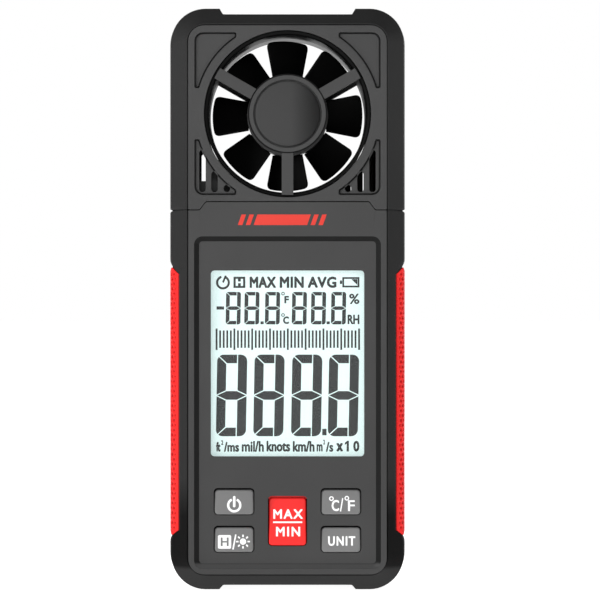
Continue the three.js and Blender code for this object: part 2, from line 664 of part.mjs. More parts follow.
function mainPcb() {
  const outline = roundedRect(-PCB.half, PCB.half, PCB.bottom, PCB.top, PCB.radius);
  return slab(outline, PCB.front, PCB.back)
    .subtract(joined(CASE_SCREWS.map((at) => boardHole(BOARD_HOLE.notch, at))))
    .subtract(joined(PCB_SCREWS.map((at) => boardHole(BOARD_HOLE.screw, at))));
}

function placeBoard() {
  const seat = PCB.back + PCB.clear;
  place('main_pcb', 'board', mainPcb());
  place('controller_chip', 'chip', block(
    [-CONTROLLER.half, CONTROLLER.half], [seat, PCB.back + CONTROLLER.tall],
    [CONTROLLER.z - CONTROLLER.half, CONTROLLER.z + CONTROLLER.half]));
  place('buzzer', 'chip', ringY(
    BUZZER.hole, BUZZER.radius, seat, PCB.back + BUZZER.tall, BUZZER.x, BUZZER.z, ROUND.small));
}

// ---------------------------------------------------------------- keys

// A cap whose face leans so that its top edge lies deeper than its bottom edge.
function buttonCap({ x, z, w, h, radius }) {
  const stem = slab(
    roundedRect(x - w / 2, x + w / 2, z - h / 2, z + h / 2, radius), -FACE_Y - PAST, BUTTON.back);
  const flange = slab(roundedRect(
    x - w / 2 - BUTTON.flange, x + w / 2 + BUTTON.flange,
    z - h / 2 - BUTTON.flange, z + h / 2 + BUTTON.flange, radius), BUTTON.flangeFront, BUTTON.back);
  const lean = radians(-BUTTON.tilt * (SMALL_KEY.h / h));
  const size = 40;
  const deep = 10;
  const above = new THREE.BoxGeometry(size, deep, size).translate(0, -deep / 2, 0).rotateX(lean);
  return stem.add(flange).subtract(solid(above.translate(x, BUTTON.front + BUTTON.lift, z)));
}

function keypadMat() {
  const sheet = block([-MAT.half, MAT.half], [MAT.front, MAT.back], [MAT.bottom, MAT.top]);
  const rim = block([-MAT.half, MAT.half], [MAT.front, MAT.foot], [MAT.bottom, MAT.top])
    .subtract(block(
      [-MAT.half + MAT.rim, MAT.half - MAT.rim], [MAT.back, MAT.foot + PAST],
      [MAT.bottom + MAT.rim, MAT.top - MAT.rim]));
  const domes = Object.values(BUTTONS).map(({ x, z }) => rodY(
    DOME.radius, BUTTON.back + DOME.clear, DOME.back, x, z, ROUND.fine));
  return joined([sheet, rim, ...domes]);
}

function placeKeys() {
  for (const [name, key] of Object.entries(BUTTONS)) {
    place(name, name === 'button_max_min' ? 'redKey' : 'key', buttonCap(key));
  }
  place('keypad_mat', 'silicone', keypadMat());
}

// ---------------------------------------------------------------- cells and contacts

function rodZ(radius, z0, z1, x, y, segments = ROUND.fine) {
  const rod = new THREE.CylinderGeometry(radius, radius, z1 - z0, segments);
  return solid(rod.rotateX(Math.PI / 2).translate(x, y, (z0 + z1) / 2));
}

const CONTACT = { thick: 0.4, half: 4.2, fromWall: 0.1, gap: 0.2 };
const SPRING = { turns: 3, wire: 0.3, wide: 3.2, narrow: 2, length: 4.2, start: 0.5, pointsPerTurn: 8 };

// way is +1 when the cell's positive end is up.
function cell(index, way) {
  const x = (index - 2) * CELL.pitch;
  const inset = CONTACT.thick + CONTACT.gap;
  const end = way > 0 ? BAY.top - inset : BAY.bottom + inset;
  const body = [end - way * CELL.nub, end - way * (CELL.nub + CELL.body)].sort((a, b) => a - b);
  const nub = [end, end - way * (CELL.nub + ROOT)].sort((a, b) => a - b);
  return rodZ(CELL.radius, ...body, x, CELL.y, ROUND.small).add(rodZ(CELL.nubRadius, ...nub, x, CELL.y));
}

function contactPlate(index, way) {
  const x = (index - 2) * CELL.pitch;
  const face = way > 0 ? BAY.top - CONTACT.fromWall : BAY.bottom + CONTACT.fromWall;
  const z = [face, face - way * CONTACT.thick].sort((a, b) => a - b);
  return block([x - CONTACT.half, x + CONTACT.half], [CELL.y - CONTACT.half, CELL.y + CONTACT.half], z);
}

function spring(index, way) {
  const x = (index - 2) * CELL.pitch;
  const start = way > 0 ? BAY.bottom + SPRING.start : BAY.top - SPRING.start;
  const points = [];
  const steps = SPRING.turns * SPRING.pointsPerTurn;
  for (let i = 0; i <= steps; i += 1) {
    const share = i / steps;
    const turn = share * SPRING.turns * Math.PI * 2;
    const radius = THREE.MathUtils.lerp(SPRING.wide, SPRING.narrow, share);
    points.push([
      x + radius * Math.cos(turn), CELL.y + radius * Math.sin(turn), start + way * share * SPRING.length,
    ]);
  }
  return tube(points, SPRING.wire, SPRING.turns * 10, 4);
}

const CELL_WAYS = [1, -1, 1];

function placeCells() {
  CELL_WAYS.forEach((way, i) => {
    place(`battery_${i + 1}`, 'cell', cell(i + 1, way));
    place(`battery_plate_${i + 1}`, 'steel', contactPlate(i + 1, way));
    place(`battery_spring_${i + 1}`, 'steel', spring(i + 1, way));
  });
  const red = [
    [-CELL.pitch, CELL.y, BAY.top + 0.2], [-CELL.pitch, CELL.y, BAY.top + 3.4],
    [-10, 3, BAY.top + 7], [-9, -1.6, BAY.top + 8.4], [-8.6, -4.2, BAY.top + 9],
  ];
  const black = [
    [CELL.pitch, CELL.y, BAY.bottom - 0.2], [CELL.pitch, CELL.y, BAY.bottom - 3.4],
    [10, 3, BAY.bottom - 6], [9, -1.6, BAY.bottom - 7], [8.6, -4.2, BAY.bottom - 7.4],
  ];
  place('battery_lead_red', 'redWire', tube(red, LEAD.battery, LEAD.batterySteps));
  place('battery_lead_black', 'blackWire', tube(black, LEAD.battery, LEAD.batterySteps));
}

// ---------------------------------------------------------------- screws

// The head is at the high end of Y, with a cross recess.
function screw([x, z], { tip, seat, shank, head, tall }) {
  const profile = [
    [0, tip], [shank * 0.6, tip], [shank, tip + shank], [shank, seat], [head, seat],
    [head, seat + tall * 0.6], [head * 0.7, seat + tall], [0, seat + tall],
  ];
  const top = [seat + tall * 0.4, seat + tall + PAST];
  const wide = head * 0.6;
  const thin = head * 0.14;
  const recess = block([x - wide, x + wide], top, [z - thin, z + thin])
    .add(block([x - thin, x + thin], top, [z - wide, z + wide]));
  return turnedY(profile, x, z, ROUND.fine).subtract(recess);
}

const LONG_SCREW = { tip: -8, seat: BOSS.seat + 0.1, shank: 1, head: 1.9, tall: 2 };
const SHORT_SCREW = { tip: -10.6, seat: PCB.back + PCB.clear, shank: 0.8, head: 1.8, tall: 1.3 };

function placeScrews() {
  CASE_SCREWS.forEach((at, i) => place(`case_screw_${i + 1}`, 'steel', screw(at, LONG_SCREW)));
  HEAD_SCREWS.forEach((at, i) => place(`head_screw_${i + 1}`, 'steel', screw(at, LONG_SCREW)));
  PCB_SCREWS.forEach((at, i) => place(`pcb_screw_${i + 1}`, 'steel', screw(at, SHORT_SCREW)));
}

// ---------------------------------------------------------------- the whole object

place('head_front_cover', 'shell', headCover(-1, SLOT.xs, SLOT.xs));
place('head_rear_cover', 'shell', headCover(1, SLOT.xs, REAR_RIGHT_SLOT_XS));
place('head_bumper', 'bumper', bumper.intersect(headZone));
placeFan();
placeSensors();
place('front_cover', 'shell', frontCover());
place('rear_cover', 'shell', rearCover());
place('body_bumper', 'bumper', bumper.intersect(bodyZone).subtract(gripPockets));
place('grip_left', 'grip', grip(-1));
place('grip_right', 'grip', grip(1));
placeDisplay();
placeBoard();
placeKeys();
place('battery_door', 'shell', batteryDoor());
placeCells();
placeScrews();

export default object;
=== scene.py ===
"""The looks of a handheld weather meter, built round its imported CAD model.

Metres. The face looks along -Y, +X is to its right and +Z runs up the long side, as in the CAD model.
Depth is counted in from the face that a piece belongs to, the front or the back.
"""
from collections import namedtuple
from math import atan2, cos, pi, radians, sin, sqrt, tan

import bmesh
import bpy
from mathutils import Matrix, Vector


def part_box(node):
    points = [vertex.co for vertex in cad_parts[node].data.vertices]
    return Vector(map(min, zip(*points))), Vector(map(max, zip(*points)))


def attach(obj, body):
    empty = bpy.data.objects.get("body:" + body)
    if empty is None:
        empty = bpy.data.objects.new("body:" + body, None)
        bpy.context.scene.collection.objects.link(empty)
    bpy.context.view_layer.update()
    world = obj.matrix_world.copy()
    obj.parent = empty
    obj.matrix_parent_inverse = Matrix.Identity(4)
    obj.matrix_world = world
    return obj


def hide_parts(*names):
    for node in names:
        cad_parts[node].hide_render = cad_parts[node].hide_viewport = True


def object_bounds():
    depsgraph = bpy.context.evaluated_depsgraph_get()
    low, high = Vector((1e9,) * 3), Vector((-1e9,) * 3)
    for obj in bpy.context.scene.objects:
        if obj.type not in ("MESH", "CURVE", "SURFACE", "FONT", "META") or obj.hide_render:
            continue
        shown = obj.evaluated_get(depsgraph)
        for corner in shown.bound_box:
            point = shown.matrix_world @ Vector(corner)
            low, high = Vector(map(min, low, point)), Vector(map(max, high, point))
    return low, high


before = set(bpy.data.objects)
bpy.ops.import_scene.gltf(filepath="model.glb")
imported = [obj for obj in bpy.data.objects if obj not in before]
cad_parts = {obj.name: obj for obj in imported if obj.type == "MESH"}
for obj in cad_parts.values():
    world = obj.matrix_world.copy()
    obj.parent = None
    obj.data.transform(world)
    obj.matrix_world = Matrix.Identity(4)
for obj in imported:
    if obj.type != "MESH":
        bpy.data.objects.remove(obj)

cad_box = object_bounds()

# ------------------------------------------------------------------ driving dimensions

MM = 0.001
FRONT, REAR = -1, 1


def mm(*values):
    """Millimetres as metres."""
    return [v * MM for v in values]


def xz(x, z):
    """A point of an outline, given in millimetres."""
    return Vector((x * MM, z * MM))


HALF_WIDTH, HALF_DEPTH, HEIGHT = Vector(cad_box[1])

BUMPER_RADIUS, BEVEL_DEPTH = mm(9.7, 5)
DRAFT, LOW_DRAFT = mm(0.55, 0.3)
RELIEF_HALF, RELIEF_OUT = mm(17.2, 18.4)
RELIEF_TOP, RELIEF_BOTTOM = mm(2.2, 1.55)

FACE_HALF, FACE_LOW, FACE_TOP, FACE_RADIUS = mm(26.4, 4.6, 150.5, 4.3)
SKIRT_STEP, SHOULDER, WALL, PLATE = mm(2.2, 4.8, 1.9, 2.6)

SEAM_SIDE, SEAM_MIDDLE = mm(101.45, 103.65)
SEAM_HALF_MIDDLE, SEAM_HALF_SIDE = mm(21.7, 23.3)
SEAM_RADIUS, SEAM_END_RADIUS = mm(0.9, 0.3)
SEAM_GAP = 0.16 * MM

FAN = (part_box("rotor_shaft")[0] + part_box("rotor_shaft")[1]) / 2
FAN_XZ = Vector((FAN.x, FAN.z))

# Rounding of the edges of a shell, of a hole and of a fine detail.
EDGE, HOLE_EDGE, FINE_EDGE = mm(0.15, 0.12, 0.1)


# ------------------------------------------------------------------ outlines

SMOOTH, DISC_STEPS = 8, 72
MITRE_LEAST = 0.4


def heading(angle):
    """The unit vector at an angle."""
    return Vector((cos(angle), sin(angle)))


def arc(centre, radius, first, last, steps):
    """Points along an arc, both its ends among them."""
    return [centre + heading(first + (last - first) * k / steps) * radius for k in range(steps + 1)]


def circle(centre, radius, steps=48):
    return [centre + heading(2 * pi * k / steps) * radius for k in range(steps)]


def filleted(corners, radii, steps=6):
    """A closed outline through the corners, each rounded with its radius."""
    points = []
    count = len(corners)
    for i, corner in enumerate(corners):
        radius = radii[i] if isinstance(radii, list) else radii
        back = (corners[i - 1] - corner).normalized()
        ahead = (corners[(i + 1) % count] - corner).normalized()
        half = back.angle(ahead) / 2
        centre = corner + (back + ahead).normalized() * (radius / sin(half))
        start = corner + back * (radius / tan(half)) - centre
        end = corner + ahead * (radius / tan(half)) - centre
        first = atan2(start.y, start.x)
        turn = (atan2(end.y, end.x) - first + pi) % (2 * pi) - pi
        points += arc(centre, radius, first, first + turn, steps)
    return points


def rounded_rect(left, right, low, top, radius, steps=6):
    corners = [Vector((right, low)), Vector((right, top)), Vector((left, top)), Vector((left, low))]
    return filleted(corners, radius, steps)


def mirrored(points):
    """The points of the right half, then their mirror images back to where they began."""
    return points + [Vector((-p.x, p.y)) for p in reversed(points)]


def grown(outline, distance):
    """The outline, anticlockwise, moved outwards everywhere by the distance."""
    if distance == 0:
        return list(outline)
    moved = []
    for i, here in enumerate(outline):
        into = (here - outline[i - 1]).normalized()
        out = (outline[(i + 1) % len(outline)] - here).normalized()
        normal = Vector((into.y, -into.x))
        mitre = (normal + Vector((out.y, -out.x))).normalized()
        moved.append(here + mitre * (distance / max(mitre.dot(normal), MITRE_LEAST)))
    return moved


def case_outline(zone, grow=0.0):
    """The face of the body, below the seam, or of the head, above it."""
    if zone == "body":
        gap, end = -SEAM_GAP / 2, FACE_LOW - grow
    else:
        gap, end = SEAM_GAP / 2, FACE_TOP + grow
    half, side = FACE_HALF + grow, SEAM_SIDE + gap
    corners = mirrored([Vector((half, end)), Vector((half, side)), Vector((SEAM_HALF_SIDE, side)),
                        Vector((SEAM_HALF_MIDDLE, SEAM_MIDDLE + gap))])
    radii = [FACE_RADIUS + grow, SEAM_END_RADIUS, SEAM_RADIUS, SEAM_RADIUS]
    radii += radii[::-1]
    if zone == "head":
        corners.reverse()
    return filleted(corners, radii, SMOOTH)


def middle_of(node):
    """The middle of a CAD node's box, in x and z."""
    low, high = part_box(node)
    return Vector(((low.x + high.x) / 2, (low.z + high.z) / 2))


# ------------------------------------------------------------------ closed meshes, ring by ring

Hole = namedtuple("Hole", "outline steps inside through jacket", defaults=((), False, None))


def lip(edge, depth=0.0, turns=3):
    """Steps (growth, depth) of a hole's rounded edge."""
    steps = []
    for k in range(turns + 1):
        angle = pi / 2 * k / turns
        steps.append((edge * (1 - sin(angle)), depth + edge * (1 - cos(angle))))
    return steps


def brim(edge, depth=0.0, turns=3):
    """The same for an outside edge."""
    return [(-growth, down) for growth, down in lip(edge, depth, turns)]


class Solid:
    """A mesh made of rings, the walls between them and the flat floors that close them."""

    def __init__(self, side=FRONT):
        self.mesh = bmesh.new()
        self.side = side

    def loop(self, points):
        return [self.mesh.verts.new(p) for p in points]

    def ring(self, outline, depth):
        y = self.side * (HALF_DEPTH - depth)
        return self.loop([(p.x, y, p.y) for p in outline])

    def discs(self, centre, steps):
        """Round rings about a centre, one for each (radius, depth)."""
        return [self.ring(circle(centre, radius, DISC_STEPS), depth) for radius, depth in steps]

    def walls(self, rings):
        for near, far in zip(rings, rings[1:]):
            for i in range(len(near)):
                self.mesh.faces.new((near[i - 1], near[i], far[i], far[i - 1]))

    def floor(self, rings):
        edges = []
        for ring in rings:
            for i in range(len(ring)):
                pair = (ring[i - 1], ring[i])
                edges.append(self.mesh.edges.get(pair) or self.mesh.edges.new(pair))
        bmesh.ops.triangle_fill(self.mesh, edges=edges, use_beauty=True, use_dissolve=False)

    def ends(self, rings):
        """Closes the first and the last ring with a floor each."""
        self.floor([rings[0]])
        self.floor([rings[-1]])

    def drum(self, rings):
        """Closes a solid: the walls between its rings and a floor at each end."""
        self.walls(rings)
        self.ends(rings)

    def rise(self, outline, steps):
        rings = [self.ring(grown(outline, growth), depth) for growth, depth in steps]
        self.walls(rings)
        return rings

    def cut(self, hole):
        """Sinks a hole. Returns its mouth and the rings that the plate's back has to leave open."""
        rings = self.rise(hole.outline, hole.steps)
        opened = []
        if hole.through:
            opened.append(rings[-1])
        else:
            mouths, opened = self.cut_all(hole.inside)
            self.floor([rings[-1]] + mouths)
        if hole.jacket:
            outside = self.rise(hole.outline, hole.jacket)
            self.floor([outside[-1]])
            opened.append(outside[0])
        return rings[0], opened

    def cut_all(self, holes):
        mouths, opened = [], []
        for hole in holes:
            mouth, more = self.cut(hole)
            mouths.append(mouth)
            opened += more
        return mouths, opened

    def plate(self, rings, holes=()):
        """Closes a plate: its face between the first ring and the holes, and its back."""
        mouths, opened = self.cut_all(holes)
        self.floor([rings[0]] + mouths)
        self.floor([rings[-1]] + opened)

    def piece(self, name, material, body, replaced=(), slot=None, sharp=32, weighted=True, accent=None):
        """Puts the mesh in the scene as a piece that rides on a body.

        An accent is a second material and a test for the faces that have it.
        """
        bmesh.ops.recalc_face_normals(self.mesh, faces=self.mesh.faces)
        materials = [material]
        if accent:
            materials.append(accent[0])
            for face in self.mesh.faces:
                face.material_index = 1 if accent[1](face) else 0
        data = bpy.data.meshes.new(name)
        self.mesh.to_mesh(data)
        self.mesh.free()
        for each in materials:
            data.materials.append(each)
        data.shade_smooth()
        data.set_sharp_from_angle(angle=radians(sharp))
        thing = bpy.data.objects.new(name, data)
        bpy.context.scene.collection.objects.link(thing)
        if weighted:
            normals = thing.modifiers.new("weighted_normals", "WEIGHTED_NORMAL")
            normals.keep_sharp = True
        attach(thing, body)
        if replaced:
            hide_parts(*replaced)
        return thing


def turned(solid, profile, centre, steps):
    """Turns a closed profile of (radius, y) about an axis along Y and adds it to the solid."""
    rings = []
    for k in range(steps):
        angle = 2 * pi * k / steps
        rings.append(solid.loop([
            (centre.x + r * cos(angle), y, centre.z + r * sin(angle)) for r, y in profile]))
    solid.walls(rings + rings[:1])


# ------------------------------------------------------------------ materials

# Noise scales are in waves per metre, bump heights in millimetres.
CLOUD_SCALE, WINDOW_SCALE, LCD_SCALE, SCRATCH_SCALE = 45, 300, 60, 2600
GRAIN_DETAIL, SCRATCH_DETAIL = 3.0, 4.0
SHEEN_SPREAD = 0.05
SCRATCH_LESS, SCRATCH_MORE = 0.08, 0.1
RAMP_STOPS = (0.35, 0.65)


def linear(code):
    """A web colour as linear light, by the sRGB curve."""
    channels = [int(code[i:i + 2], 16) / 255 for i in (1, 3, 5)]
    return (*[c / 12.92 if c <= 0.04045 else ((c + 0.055) / 1.055) ** 2.4 for c in channels], 1.0)


def feed(node, **inputs):
    """Sets a node's inputs, or links outputs to them. In a name, _ stands for a space."""
    for name, value in inputs.items():
        socket = node.inputs[name.replace("_", " ")]
        if isinstance(value, bpy.types.NodeSocket):
            node.id_data.links.new(value, socket)
        else:
            socket.default_value = value


def add_node(owner, kind, **inputs):
    node = owner.node_tree.nodes.new(kind)
    feed(node, **inputs)
    return node


def feed_shader(material, **inputs):
    feed(material.node_tree.nodes["Principled BSDF"], **inputs)


def new_material(name, colour, roughness, **inputs):
    material = bpy.data.materials.new(name)
    material.use_nodes = True
    feed_shader(material, Base_Color=linear(colour), Roughness=roughness, **inputs)
    return material


def add_noise(material, scale, detail=2.0):
    place = add_node(material, "ShaderNodeTexCoord").outputs["Object"]
    return add_node(material, "ShaderNodeTexNoise", Scale=scale, Detail=detail, Vector=place).outputs["Fac"]


def add_bump(material, height, distance):
    bump = add_node(material, "ShaderNodeBump", Height=height, Distance=distance * MM)
    feed_shader(material, Normal=bump.outputs["Normal"])


def vary_roughness(material, share, low, high):
    spread = add_node(material, "ShaderNodeMapRange", Value=share, To_Min=low, To_Max=high)
    feed_shader(material, Roughness=spread.outputs["Result"])


def vary_colour(material, share, first, second):
    """Goes from the first colour to the second while the share passes between the ramp's stops."""
    ramp = add_node(material, "ShaderNodeValToRGB", Fac=share)
    for element, stop, colour in zip(ramp.color_ramp.elements, RAMP_STOPS, (first, second)):
        element.position = stop
        element.color = linear(colour)
    feed_shader(material, Base_Color=ramp.outputs["Color"])


def moulded(name, dark, light, roughness, grain=5200, bump=0.012, specular=0.35):
    """Moulded plastic or rubber: a fine eroded grain, a cloudy tone and an uneven sheen."""
    material = new_material(name, dark, roughness, Specular_IOR_Level=specular)
    add_bump(material, add_noise(material, grain, GRAIN_DETAIL), bump)
    cloud = add_noise(material, CLOUD_SCALE)
    vary_roughness(material, cloud, roughness - SHEEN_SPREAD, roughness + SHEEN_SPREAD)
    vary_colour(material, cloud, dark, light)
    return material


def painted_shade_ramp(name, first, second, roughness, spans, grain, bump, specular, detail=GRAIN_DETAIL):
    """Plastic or rubber with painted shade and painted reflections: its tone changes along the piece, as
    the studio's light would make it change.

    Each span is an axis and the places, in millimetres, of the first and the second tone. Where
    there are two spans, the one that is nearer to its second tone counts.
    """
    material = new_material(name, second, roughness, Specular_IOR_Level=specular)
    place = add_node(material, "ShaderNodeTexCoord").outputs["Object"]
    split = add_node(material, "ShaderNodeSeparateXYZ", Vector=place)
    shares = [add_node(material, "ShaderNodeMapRange", Value=split.outputs[axis], From_Min=low * MM,
                       From_Max=high * MM).outputs["Result"] for axis, low, high in spans]
    share = shares[0]
    if len(shares) > 1:
        larger = add_node(material, "ShaderNodeMath")
        larger.operation = "MAXIMUM"
        for socket, value in zip(larger.inputs, shares):
            material.node_tree.links.new(value, socket)
        share = larger.outputs["Value"]
    vary_colour(material, share, first, second)
    add_bump(material, add_noise(material, grain, detail), bump)
    return material


def plain_metal(name, colour, roughness):
    material = new_material(name, colour, roughness, Metallic=1.0)
    scratches = add_noise(material, SCRATCH_SCALE, SCRATCH_DETAIL)
    add_bump(material, scratches, 0.004)
    vary_roughness(material, scratches, roughness - SCRATCH_LESS, roughness + SCRATCH_MORE)
    return material


def lcd_with_painted_glow():
    """The display's pale ground, made bright by a painted glow that stands in for light from behind it."""
    glow = {"Emission Color": linear("#e6fffd"), "Emission Strength": 0.51}
    material = new_material("lcd_ground", "#b8c8c6", 0.35, **glow)
    vary_colour(material, add_noise(material, LCD_SCALE), "#b6c6c4", "#bacac8")
    return material


def window_material():
    material = new_material("clear_window", "#b8c4c4", 0.08, Alpha=0.04, IOR=1.49)
    add_bump(material, add_noise(material, WINDOW_SCALE), 0.0005)
    return material


SHELL = moulded("shell_plastic", "#373737", "#3b3b3b", 0.62)
RUBBER = moulded("bumper_rubber", "#222222", "#262626", 0.72, grain=3600, bump=0.02, specular=0.25)
GRIP = moulded("red_grip_rubber", "#ea1311", "#f21917", 0.55, grain=4200, bump=0.01, specular=0.3)
# The grips' dimple floors and rounded rims are painted darker red as shade.
GRIP_PAINTED_SHADE = moulded("red_grip_painted_shade", "#b30f0d", "#bd1311", 0.6, grain=4200, bump=0.01, specular=0.2)
DUCT = moulded("duct_plastic", "#040404", "#060606", 0.5, grain=900, bump=0.002, specular=0.08)
REAR_DUCT = moulded("rear_duct_plastic", "#050505", "#080808", 0.4, grain=900, bump=0.002, specular=0.1)
BLADE = moulded("blade_plastic", "#040404", "#070707", 0.6, grain=3000, bump=0.006, specular=0.1)
HUB = moulded("rotor_hub_plastic", "#303030", "#383838", 0.5)
KEY = moulded("grey_key_plastic", "#717171", "#777777", 0.5, grain=6500, bump=0.006)
RED_KEY = moulded("red_key_plastic", "#f01c1a", "#f4211f", 0.45, grain=6500, bump=0.006)
# Near-black painted shade for the sides of the keys down in their gaps and for the line round the front
# hub.
GAP_PAINTED_SHADE = moulded("key_gap_painted_shade", "#0c0c0c", "#101010", 0.7, grain=6500, bump=0.006, specular=0.1)
LEGEND = moulded("legend_print", "#fafafa", "#ffffff", 0.5, grain=9000, bump=0.002)
MARK = moulded("mark_print", "#cf2f24", "#d93a2d", 0.5, grain=9000, bump=0.002)
SEGMENT = moulded("lcd_segment", "#2c2a2b", "#312f30", 0.6, grain=9000, bump=0.0005, specular=0.05)
STEEL = plain_metal("zinc_steel", "#b9bcc0", 0.32)
BRASS = plain_metal("bearing_brass", "#c9a24a", 0.3)
MAGNET = plain_metal("magnet_nickel", "#8d8f93", 0.25)
BOARD = moulded("board_mask", "#17592f", "#1d6b3a", 0.4, grain=2400, bump=0.01)
BLACK_BOARD = moulded("black_board_mask", "#101211", "#161817", 0.4, grain=2400, bump=0.01)
CHIP = moulded("chip_epoxy", "#161618", "#1d1d20", 0.45)
WHITE = moulded("white_plastic", "#ecece8", "#f4f4f0", 0.5)
SILICONE = moulded("silicone_rubber", "#8f9598", "#9ba1a4", 0.65, grain=2000)
FOAM = moulded("gasket_foam", "#1b1b1b", "#242424", 0.95, grain=2800, bump=0.08)
RED_WIRE = moulded("red_insulation", "#b41c1c", "#c42222", 0.4)
BLACK_WIRE = moulded("black_insulation", "#0e0e0e", "#141414", 0.4)
CELL = moulded("cell_sleeve", "#2a648f", "#3272a0", 0.3, grain=1200, bump=0.002, specular=0.6)

LCD = lcd_with_painted_glow()
WINDOW = window_material()

# Painted shade and light: the body's bumper darkens towards its lower corners and lightens below them.
# Painted shade also darkens the hub cap on its right and the slope round the panel but for its lower end.
BUMPER_PAINTED_SHADE = painted_shade_ramp("body_bumper_painted_shade", "#040404", "#292929", 0.72, (("Z", 8.4, 42), ("Z", 8.0, 4.6)),
                   grain=3600, bump=0.02, specular=0.12)
CAP_PAINTED_SHADE = painted_shade_ramp("cap_painted_shade", "#0b0b0b", "#373737", 0.6, (("X", 15.1, -6.6),),
            grain=5200, bump=0.01, specular=0.25)
SLOPE_PAINTED_SHADE = painted_shade_ramp("panel_slope_painted_shade", "#4a4a4a", "#101010", 0.5, (("Z", 6.4, 8.6),),
              grain=3000, bump=0.004, specular=0.15, detail=2.0)

# ------------------------------------------------------------------ half shells

SPLIT_GAP = 0.05 * MM


def shell_rings(solid, zone):
    """From the face's rounded edge, out under the bumper, to the split and back inside to the plate."""
    face = case_outline(zone)
    skirt = case_outline(zone, SKIRT_STEP)
    inner = case_outline(zone, SKIRT_STEP - WALL)
    core = grown(face, -WALL)
    split = HALF_DEPTH - SPLIT_GAP
    rings = solid.rise(face, brim(EDGE) + [(0, SHOULDER)])
    under = [solid.ring(outline, depth) for outline, depth in (
        (skirt, SHOULDER), (skirt, split), (inner, split),
        (inner, SHOULDER + WALL), (core, SHOULDER + WALL), (core, PLATE))]
    solid.walls([rings[-1]] + under)
    return rings[0], under[-1]


def half_shell(name, zone, side, holes, replaced, accent=None):
    solid = Solid(side)
    solid.plate(shell_rings(solid, zone), holes)
    return solid.piece(name, SHELL, "housing", replaced, "dark_grey_abs", accent=accent)


BUTTON_NODES = ("button_power", "button_hold", "button_max_min", "button_temperature", "button_unit")
KEY_FLANGE = 0.6 * MM
KEY_GAP_SIDE, KEY_GAP_LOW, KEY_GAP_TOP, KEY_HOLE_RADIUS = mm(0.2, 0.1, 0.45, 1.1)

PANEL_HALF, PANEL_LOW, PANEL_TOP, PANEL_RADIUS = mm(24.8, 6.2, 94.4, 2.2)
PANEL_DEPTH, PANEL_SLOPE, PANEL_EDGE, PANEL_EASE = mm(1.0, 1.25, 0.08, 0.05)
SLOPE_FROM, SLOPE_SHORT = mm(0.03, 0.02)
SLOPE_LEAST, SLOPE_MOST = 0.3, 0.95
WINDOW_FLANGE, WINDOW_EASE, WINDOW_RADIUS = mm(0.85, 0.1, 0.95)


def on_panel_slope(face):
    """Picks the sloping walls round the display panel, which carry a painted shade, by depth and by how far
    they face forwards.
    """
    depth = HALF_DEPTH + face.calc_center_median().y
    return SLOPE_FROM < depth < PANEL_DEPTH - SLOPE_SHORT and SLOPE_LEAST < -face.normal.y < SLOPE_MOST


def key_box(node):
    """Left, right, low and top of a key's cap, which its hidden flange surrounds."""
    low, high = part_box(node)
    return low.x + KEY_FLANGE, high.x - KEY_FLANGE, low.z + KEY_FLANGE, high.z - KEY_FLANGE


def window_outline():
    low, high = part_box("display_window")
    reach = WINDOW_FLANGE - WINDOW_EASE
    return rounded_rect(low.x + reach, high.x - reach, low.z + reach, high.z - reach, WINDOW_RADIUS)


def panel():
    """The sunk display panel with its window opening and the five key holes."""
    outline = rounded_rect(-PANEL_HALF, PANEL_HALF, PANEL_LOW, PANEL_TOP, PANEL_RADIUS, SMOOTH)
    slope = [(PANEL_EASE - PANEL_SLOPE, PANEL_DEPTH - PANEL_EASE), (-PANEL_EASE - PANEL_SLOPE, PANEL_DEPTH)]
    holes = [Hole(window_outline(), lip(FINE_EDGE, PANEL_DEPTH) + [(0, PLATE)], through=True)]
    for node in BUTTON_NODES:
        left, right, low, top = key_box(node)
        hole = rounded_rect(left - KEY_GAP_SIDE, right + KEY_GAP_SIDE, low - KEY_GAP_LOW, top + KEY_GAP_TOP,
                            KEY_HOLE_RADIUS)
        holes.append(Hole(hole, lip(HOLE_EDGE, PANEL_DEPTH) + [(0, PLATE)], through=True))
    return Hole(outline, lip(PANEL_EDGE) + slope, inside=holes)


# Screws are sunk in counterbores. Each boss is a jacket round its counterbore.
BORE_RADIUS, BORE_DEPTH = mm(2.1, 4.8)
BOSS_WALL, BOSS_FLOOR = mm(0.8, 1.2)


def counterbore(node, start=0.0):
    """A screw's counterbore, which starts at the face or at the floor of a pocket."""
    return Hole(circle(middle_of(node), BORE_RADIUS, 32), lip(HOLE_EDGE, start) + [(0, BORE_DEPTH)],
                jacket=[(BOSS_WALL, PLATE), (BOSS_WALL, BORE_DEPTH + BOSS_FLOOR)])


POCKET_HALF, POCKET_REACH, POCKET_RING = mm(24.7, 21.6, 24.4)
POCKET_FROM_X, POCKET_FROM_Z = mm(13.6, 6.8)
POCKET_DEPTH, POCKET_GROOVE, POCKET_GROOVE_DEPTH, POCKET_EASE = mm(0.8, 0.4, 2.1, 0.05)
POCKET_RADIUS, POCKET_CORNER, POCKET_ARC_EASE = mm(0.45, 2.2, 4)
POCKET_STEPS = 16
FAN_HOLE = 22.2 * MM

SLOT_TOPS = mm(117.4, 111.7, 108.1)
SLOT_LOW, SLOT_HALF, SLOT_ROUND = mm(106.2, 0.85, 0.833)
FRONT_SLOTS = mm(22.6, 19.4, 16.1)
SHIFTED_SLOTS = mm(21.4, 18.1, 14.9)


